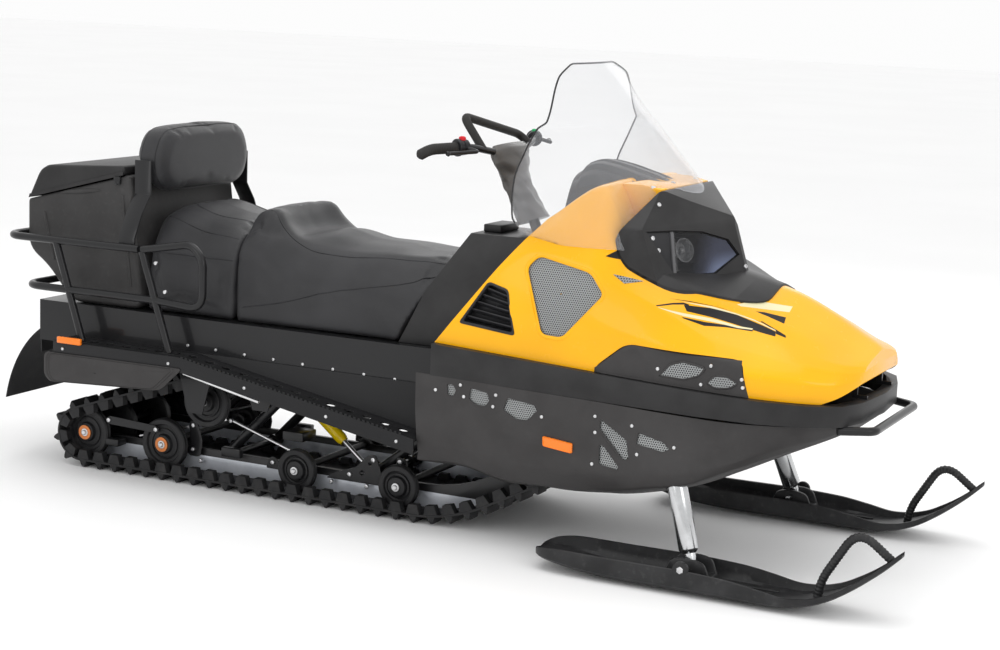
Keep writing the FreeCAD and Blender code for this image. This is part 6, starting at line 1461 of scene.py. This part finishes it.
def make_wheels():
    """All wheels of the track with axles, zinc bolts and copper seals."""
    groups = {"rear_axle_wheels": [(-1.290, 0.116, 0.086, 0.268)],
              "rail_wheels": [(-0.975, 0.116, 0.086, 0.268), (-0.458, 0.099, 0.069, 0.268),
                              (-0.085, 0.099, 0.069, 0.268)],
              "upper_idler_wheels": [(-0.810, 0.280, 0.086, 0.3177)]}
    sealed = (-1.290, -0.975)
    caps, seals = [], []
    for node, wheels in groups.items():
        parts = []
        for x, z, radius, reach in wheels:
            for side in (-1, 1):
                body, cap, axle = wheel(x, z, radius, side)
                parts += body
                caps.append(cap)
                if x in sealed:
                    seals.append(spun("seal", *axle, [(0.0140, 0.0190), (0.0140, 0.0240), (0.0245, 0.0235),
                                                      (0.0250, 0.0190)], 32, True))
            parts.append(tube("axle", [(x, -reach, z), (x, reach, z)], 0.0118, 0, 20))
        if node == "rear_axle_wheels":
            inner = [(0.018, -0.013), (0.080, -0.013), (0.086, -0.010), (0.086, 0.010), (0.080, 0.013),
                     (0.018, 0.013)]
            parts += [spun("inner wheel", (x, y, z), (x, y + 1, z), inner, 48, True) for y in (-0.096, 0.096)]
        show(outward(joined(node + "_turned", parts)), TYRE_RUBBER, "chassis", "wheel_rubber", node, angle=32)
    show(joined("wheel_bolts", caps), STEEL, "chassis", "leg_chrome", angle=32)
    show(joined("wheel_seals", seals), COPPER, "chassis", "lamp_amber", angle=32)


def make_suspension():
    """Swing arms as round bars with plates, and the yellow damper with its silver rod and clevis."""
    arms = []
    for top, low in (((0.060, 0.325), (-0.260, 0.075)), ((-0.560, 0.320), (-0.800, 0.075))):
        for (x, z), reach in ((top, 0.3177), (low, 0.1827)):
            arms.append(tube("shaft", [(x, -reach, z), (x, reach, z)], 0.012, 0, 20))
            arms += [tube("eye", [(x, y - 0.019, z), (x, y + 0.019, z)], 0.021, 0, 24) for y in (-0.160, 0.160)]
        arms += [tube("leg", [(top[0], y, top[1]), (low[0], y, low[1])], 0.016, 0, 24) for y in (-0.160, 0.160)]
    show(joined("swing_arms", arms), BLACK_PAINT, "chassis", "arm_metal", "suspension_arms")
    start, end = np.array([-0.560, -0.090, 0.320]), np.array([-0.260, -0.090, 0.075])
    body = spun("damper_body", start, end, [(0.0, 0.068), (0.010, 0.068), (0.017, 0.075), (0.0195, 0.09),
                                            (0.020, 0.12), (0.020, 0.56), (0.0185, 0.58), (0.016, 0.59),
                                            (0.016, 0.60), (0.0, 0.60)])
    show(body, DAMPER_PAINT, "chassis", "damper_yellow", "suspension_damper")
    silver = [spun("rod", start, end, [(0.0, low), (radius, low), (radius, high), (0.0, high)])
              for radius, low, high in ((0.008, 0.58, 0.93), (0.009, 0.04, 0.075))]
    eye = [(0.0125, -0.016), (0.018, -0.016), (0.019, -0.014), (0.019, 0.014), (0.018, 0.016), (0.0125, 0.016)]
    silver += [spun("eye", spot, spot + (0, 1, 0), eye, 32, True) for spot in (start, end)]
    show(joined("damper_rod", silver), STEEL, "chassis", "leg_chrome")


def make_slide_parts():
    """Plates, bolts, rubber stops, rods and strap beside the slide rails, on both sides."""
    outer, inner = -0.2165, -0.2125
    plates = [prism("plate", filleted(outline, 0.010, 4, True), outer, inner) for outline in (
        [(-0.372, 0.079), (-0.160, 0.079), (-0.180, 0.150), (-0.188, 0.176), (-0.214, 0.176), (-0.262, 0.128),
         (-0.330, 0.104)],
        [(-0.905, 0.079), (-0.860, 0.079), (-0.850, 0.125), (-0.872, 0.196), (-0.902, 0.196), (-0.900, 0.140)],
        [(-0.120, 0.079), (-0.060, 0.079), (-0.080, 0.178), (-0.112, 0.182)],
        [(-0.600, 0.079), (-0.545, 0.079), (-0.560, 0.118), (-0.585, 0.118)])]
    carve(plates[0], [prism("hole", centre + ring(radius, 16), -0.23, -0.20)
                      for centre, radius in (((-0.238, 0.112), 0.009), ((-0.210, 0.146), 0.006))])
    strap = [(-1.205, 0.170), (-1.190, 0.186), (-1.000, 0.176), (-0.985, 0.160), (-1.000, 0.152), (-1.190, 0.158)]
    plates.append(prism("strap", filleted(strap, 0.008, 4, True), -0.2705, -0.2665))
    stops = [((-0.763, -0.236, 0.098), (-0.690, inner, 0.130)), ((-0.527, -0.236, 0.186), (-0.450, -0.150, 0.216)),
             ((-1.215, -0.262, 0.080), (-1.160, -0.212, 0.104))]
    plates.append(edged_part("stops", stops, 0.004))
    show_both(joined("slide_plates_right", plates), BLACK_PAINT, "chassis", "arm_metal", angle=35)
    rods = [tube("rod", [(x0, -0.2190, z0), (x1, -0.2190, z1)], 0.0045, 0, 12)
            for x0, z0, x1, z1 in ((-0.734, 0.221, -0.505, 0.150), (-1.100, 0.120, -0.905, 0.176))]
    show_both(joined("slide_rod_right", rods), STEEL, "chassis", "leg_chrome", angle=35)
    spots = [(x, y, z) for y, row in (
        (outer, [(-0.855, 0.066), (-0.886, 0.183), (-0.887, 0.102), (-0.350, 0.068), (-0.219, 0.070),
                 (-0.283, 0.102), (-0.197, 0.161), (-0.100, 0.168), (-0.573, 0.100)]),
        (-0.2710, [(-1.190, 0.172), (-0.998, 0.164)]), (-0.2235, [(-0.734, 0.221), (-0.505, 0.150)]))
             for x, z in row]
    show_both(studs("slide_bolts_right", spots, (0, -1, 0), 0.0078, 0.006), STEEL, "chassis", "leg_chrome",
              angle=35)


# Skis and steering

SKI_ROWS = np.array([(0.514, 0.046, 0.030, 0.012), (0.522, 0.041, 0.055, 0.022), (0.545, 0.036, 0.076, 0.034),
                     (0.60, 0.028, 0.090, 0.048), (0.70, 0.016, 0.0945, 0.060), (0.80, 0.012, 0.095, 0.064),
                     (0.95, 0.012, 0.095, 0.065), (1.10, 0.012, 0.095, 0.060), (1.20, 0.012, 0.0945, 0.048),
                     (1.27, 0.0135, 0.093, 0.035), (1.34, 0.026, 0.089, 0.026), (1.40, 0.047, 0.080, 0.022),
                     (1.46, 0.082, 0.064, 0.020), (1.51, 0.1185, 0.046, 0.018), (1.55, 0.152, 0.033, 0.017),
                     (1.575, 0.176, 0.024, 0.016), (1.589, 0.190, 0.014, 0.014)])


def make_skis():
    """Ski: a trough section carried along its bent line, a saddle, a ribbed loop, a steel runner and the leg."""
    middle = SKI_PIVOT[1]
    places = np.linspace(SKI_ROWS[0, 0], SKI_ROWS[-1, 0], 110)
    low, half, rim = glide(SKI_ROWS[:, 0], SKI_ROWS[:, 1:], places).T[..., None]
    across = np.array([0.0, 0.55, 0.86, 0.97, 1.0, 0.985, 0.95, 0.90, 0.87, 0.84, 0.76, 0.50, 0.0])
    up = np.array([0.0, 0.0, 0.04, 0.22, 0.60, 0.96, 1.0, 0.97, 0.60, 0.34, 0.0, 0.0, 0.0])
    floor = np.minimum(rim * 0.45, 0.012) * (np.arange(13) > 9)
    right = np.stack([0.975 * half * across, low + rim * up + floor], -1)
    loop = np.concatenate([right, (right[:, 1:-1] * (-1, 1))[:, ::-1]], 1)
    body = lofted("ski_body_right", places, loop + (middle, 0))
    outline = filleted([(0.905, 0.022), (0.935, 0.088), (0.960, 0.096), (1.010, 0.096), (1.035, 0.088),
                        (1.065, 0.022)], 0.012, 4, True)
    slot = prism("slot", [(0.89, 0.050), (1.08, 0.050), (1.08, 0.12), (0.89, 0.12)], middle - 0.027, middle + 0.027)
    saddle = bevelled(carve(prism("saddle", outline, middle - 0.039, middle + 0.039), [slot]), 0.003, 2, 40)
    ridges = [tube("ridge", [(x0, middle + dy, z0), (x1, middle + dy, 0.026)], 0.004, 0, 8)
              for x0, z0, x1 in ((0.66, 0.031, 0.90), (1.07, 0.026, 1.24)) for dy in (-0.03, 0.03)]
    cap = [(0.0, 0.0925), (0.012, 0.0925), (0.020, 0.0920), (0.024, 0.089), (0.024, 0.080), (0.0, 0.080)]
    boss = spun("boss", SKI_PIVOT, SKI_PIVOT - (0, 1, 0), cap)
    ski = outward(joined("ski_body_right", [body, saddle, boss] + ridges))
    show_both(ski, SKI_PLASTIC, "ski_{}", "ski_plastic", "ski_{}", angle=34)
    runner = tube("runner_right", [(0.772, middle, 0.0065), (1.262, middle, 0.0065)], 0.006, 0, 14)
    show_both(runner, STEEL, "ski_{}", "runner_steel", "ski_runner_{}", angle=34)
    path = filleted([(1.356, middle, 0.030), (1.368, middle, 0.094), (1.461, middle, 0.250),
                     (1.564, middle, 0.172)], 0.07, 22)
    path, even = evenly(path, 150)
    ribs = 0.92 + 0.10 * (np.sin(even * 2 * math.pi / 0.0105) > 0.1)
    handle = swollen("ski_loop_right", path, ring(0.0125, 14), ribs, (0, 1, 0))
    show_both(handle, SKI_PLASTIC, "ski_{}", "ski_plastic", "ski_handle_{}", angle=34)
    leg = spun("leg", SKI_PIVOT, SKI_PIVOT + LEG_LEAN * 0.312,
               [(0.0, 0.02), (0.016, 0.02), (0.017, 0.05), (0.017, 0.085), (0.0265, 0.112), (0.029, 0.125),
                (0.029, 0.99), (0.028, 1.0), (0.0, 1.0)], 40)
    bolt = tube("bolt", [SKI_PIVOT - (0, 0.075, 0), SKI_PIVOT + (0, 0.075, 0)], 0.008, 0, 20)
    show_both(joined("leg_right", [leg, bolt]), CHROME, "ski_{}", "leg_chrome", "ski_leg_{}", angle=34)
    nut = studs("nuts_right", SKI_PIVOT - (0, 0.0905, 0), (0, -1, 0), 0.011, 0.0044, 6)
    show_both(nut, STEEL, "ski_{}", "leg_chrome", angle=34)
    sleeve = spun("collar_right", SKI_PIVOT + LEG_LEAN * 0.236, SKI_PIVOT + LEG_LEAN * 0.316,
                  [(0.0295, 0.0), (0.0335, 0.0), (0.035, 0.05), (0.035, 1.0), (0.0295, 1.0)], 40, True)
    show_both(sleeve, SATIN_PLASTIC, "chassis", "sleeve_black", "strut_sleeves", angle=34)


STEER_AXIS = np.array([-math.sin(math.radians(23)), 0.0, math.cos(math.radians(23))])
STEER_AHEAD = np.array([STEER_AXIS[2], 0.0, -STEER_AXIS[0]])


def steer_point(up, ahead=0.0, y=0.0):
    """Point at a distance up the steering column's line and ahead of it."""
    return np.array([0.238, y, 0.930]) + STEER_AXIS * up + STEER_AHEAD * ahead


def make_handlebar():
    """Bar, hooked grips, switch blocks with levers and buttons, and the padded hand loop."""
    top, across = 0.245, np.array([1, -1, 1])
    end, bend = steer_point(top + 0.057, -0.080, -0.360), steer_point(top + 0.035, -0.015, -0.230)
    low = steer_point(top, 0.0, -0.080)
    bar = tube("bar", [end, bend, low, low * across, bend * across, end * across], 0.011, 0.044, 20)
    show(bar, BLACK_PAINT, "handlebar", "steel_black", "handlebar_tube", angle=60)
    unit = (bend - end) / np.linalg.norm(bend - end)
    path, even = evenly(filleted([end - (0.028, 0.028, 0.022), end, end + unit * 0.094], 0.024), 90)
    left = even[-1] - even
    ribs = np.sign(np.sin(even * 2 * math.pi / 0.006)) * (even > 0.035) * (left > 0.01)
    swell = 1.0 + 0.022 * ribs + 0.08 * (left < 0.006)
    swell *= np.sqrt(np.clip(even / 0.010, 0.03, 1))
    grip = swollen("grip_right", path, ring(0.0165, 22), swell, (0, 0, 1))
    show_both(grip, GRIP_RUBBER, "handlebar", "grip_rubber", "hand_grips", angle=34)
    start = end + unit * 0.0949
    case = [(0.0, 0.0), (0.021, 0.0), (0.0235, 0.05), (0.0245, 0.3), (0.0245, 0.48), (0.022, 0.50), (0.022, 0.52),
            (0.0245, 0.54), (0.0235, 0.95), (0.021, 1.0), (0.0, 1.0)]
    switch = spun("switch body", start, start + unit * 0.040, case, 12)
    band = [(0.0, 0.0), (0.026, 0.0), (0.027, 0.2), (0.027, 0.8), (0.026, 1.0), (0.0, 1.0)]
    clamp = spun("clamp", start - unit * 0.0005, start + unit * 0.012, band, 24)
    show_both(joined("switches_right", [switch, clamp]), SATIN_PLASTIC, "handlebar", "console_plastic",
              "switch_blocks", angle=34)
    root = start + unit * 0.020 + (0.017, 0.0, 0.0)
    knee = root + (0.042, 0.0, -0.009)
    lever = [tube("lever", [root, knee, knee - unit * 0.112], 0.006, 0.014, 14),
             spun("ball", knee - unit * 0.105, knee - unit * 0.119,
                  [(0.0, 0.0), (0.006, 0.1), (0.0085, 0.5), (0.006, 0.9), (0.0, 1.0)], 16)]
    show_both(joined("lever_right", lever), BLACK_PAINT, "handlebar", "console_plastic", "switch_blocks", angle=34)
    button = start + unit * 0.022
    for name, place, radius, height, finish in (
            ("stop_button", button + (0, 0, 0.0235), 0.011, 0.010, RED_BUTTON),
            ("light_button", button * across + (0, 0, 0.0245), 0.009, 0.006, GREEN_BUTTON)):
        show(studs(name, place, (0, 0, 1), radius, height, 16), finish, "handlebar", "console_plastic")
    foot = low + (bend - low) * 0.567
    arch = [foot, steer_point(top + 0.139, -0.037, -0.165), steer_point(top + 0.059, -0.026, 0.150), foot * across]
    hoop = tube("hand_hoop", arch, 0.013, 0.034, 24, 12, (1.0, 0.0, 0.4))
    show(hoop, GRIP_RUBBER, "handlebar", "grip_rubber", "grab_loop", angle=60)


def make_column_cover():
    """Soft cover up the steering column: ovals that glide through measured widths and depths, creased by waves."""
    a = np.arange(128) * 2 * math.pi / 128
    t = np.linspace(0, 1, 110)[:, None]
    centre = np.array([steer_point(0.018 + 0.252 * up, -0.010 * math.sin(math.pi * up)) for up in t[:, 0]])
    knots = [0.0, 0.35, 0.6, 0.8, 0.92, 1.0]
    half = glide(knots, [0.086, 0.072, 0.074, 0.105, 0.118, 0.104], t[:, 0])[:, None]
    depth = glide(knots, [0.040, 0.034, 0.034, 0.038, 0.036, 0.022], t[:, 0])[:, None]
    creases = (0.10 * (np.abs(np.sin(9.0 * t + 1.9 * np.cos(a) + 0.8 * np.sin(2 * a))) - 0.6)
               + 0.060 * np.sin(3 * a + 5.0 * t)
               + 0.035 * np.sin(7 * a - 13.0 * t) + 0.030 * np.sin(34 * t + 3.0 * np.sin(a)))
    fold = 1 + creases * np.sin(math.pi * np.clip(t, 0.04, 0.97))
    grid = (centre[:, None] + (half * fold * np.cos(a))[..., None] * (0.0, 1.0, 0.0)
            + (depth * fold * np.sin(a))[..., None] * STEER_AHEAD)
    cover = closed_skin("column_cover", grid)
    show(cover, COVER_VINYL, "handlebar", "cover_vinyl", "steering_cover", angle=80)


bpy.context.scene.view_settings.view_transform = "Standard"
photo_camera()
studio()
for make in (make_hood, make_hood_sides, make_belly, make_belly_sides, make_lamp_pod, make_windshield, make_cowl,
             make_seats, make_backrest, make_box, make_rack, make_rear_sides, make_board_edges, make_slide_parts,
             make_stripes, make_track, make_wheels, make_suspension, make_skis, make_handlebar, make_column_cover):
    make()
for name, width in (("bumper_rim", 0.007), ("console", 0.012), ("dash_cluster", 0.004),
                    ("backrest_brackets", 0.001), ("side_markers", 0.004), ("tail_lamp", 0.004),
                    ("running_board_right", 0.001), ("running_board_left", 0.001), ("slide_rails", 0.0015)):
    slot = next(part["material_slot"] for part in frame["record"]["subparts"] if part["node"] == name)
    body = next(body for body, names in frame["record"]["behaviour"]["bodies"].items() if name in names)
    edged(name, nodes[name].data.materials[0], body, slot, width)
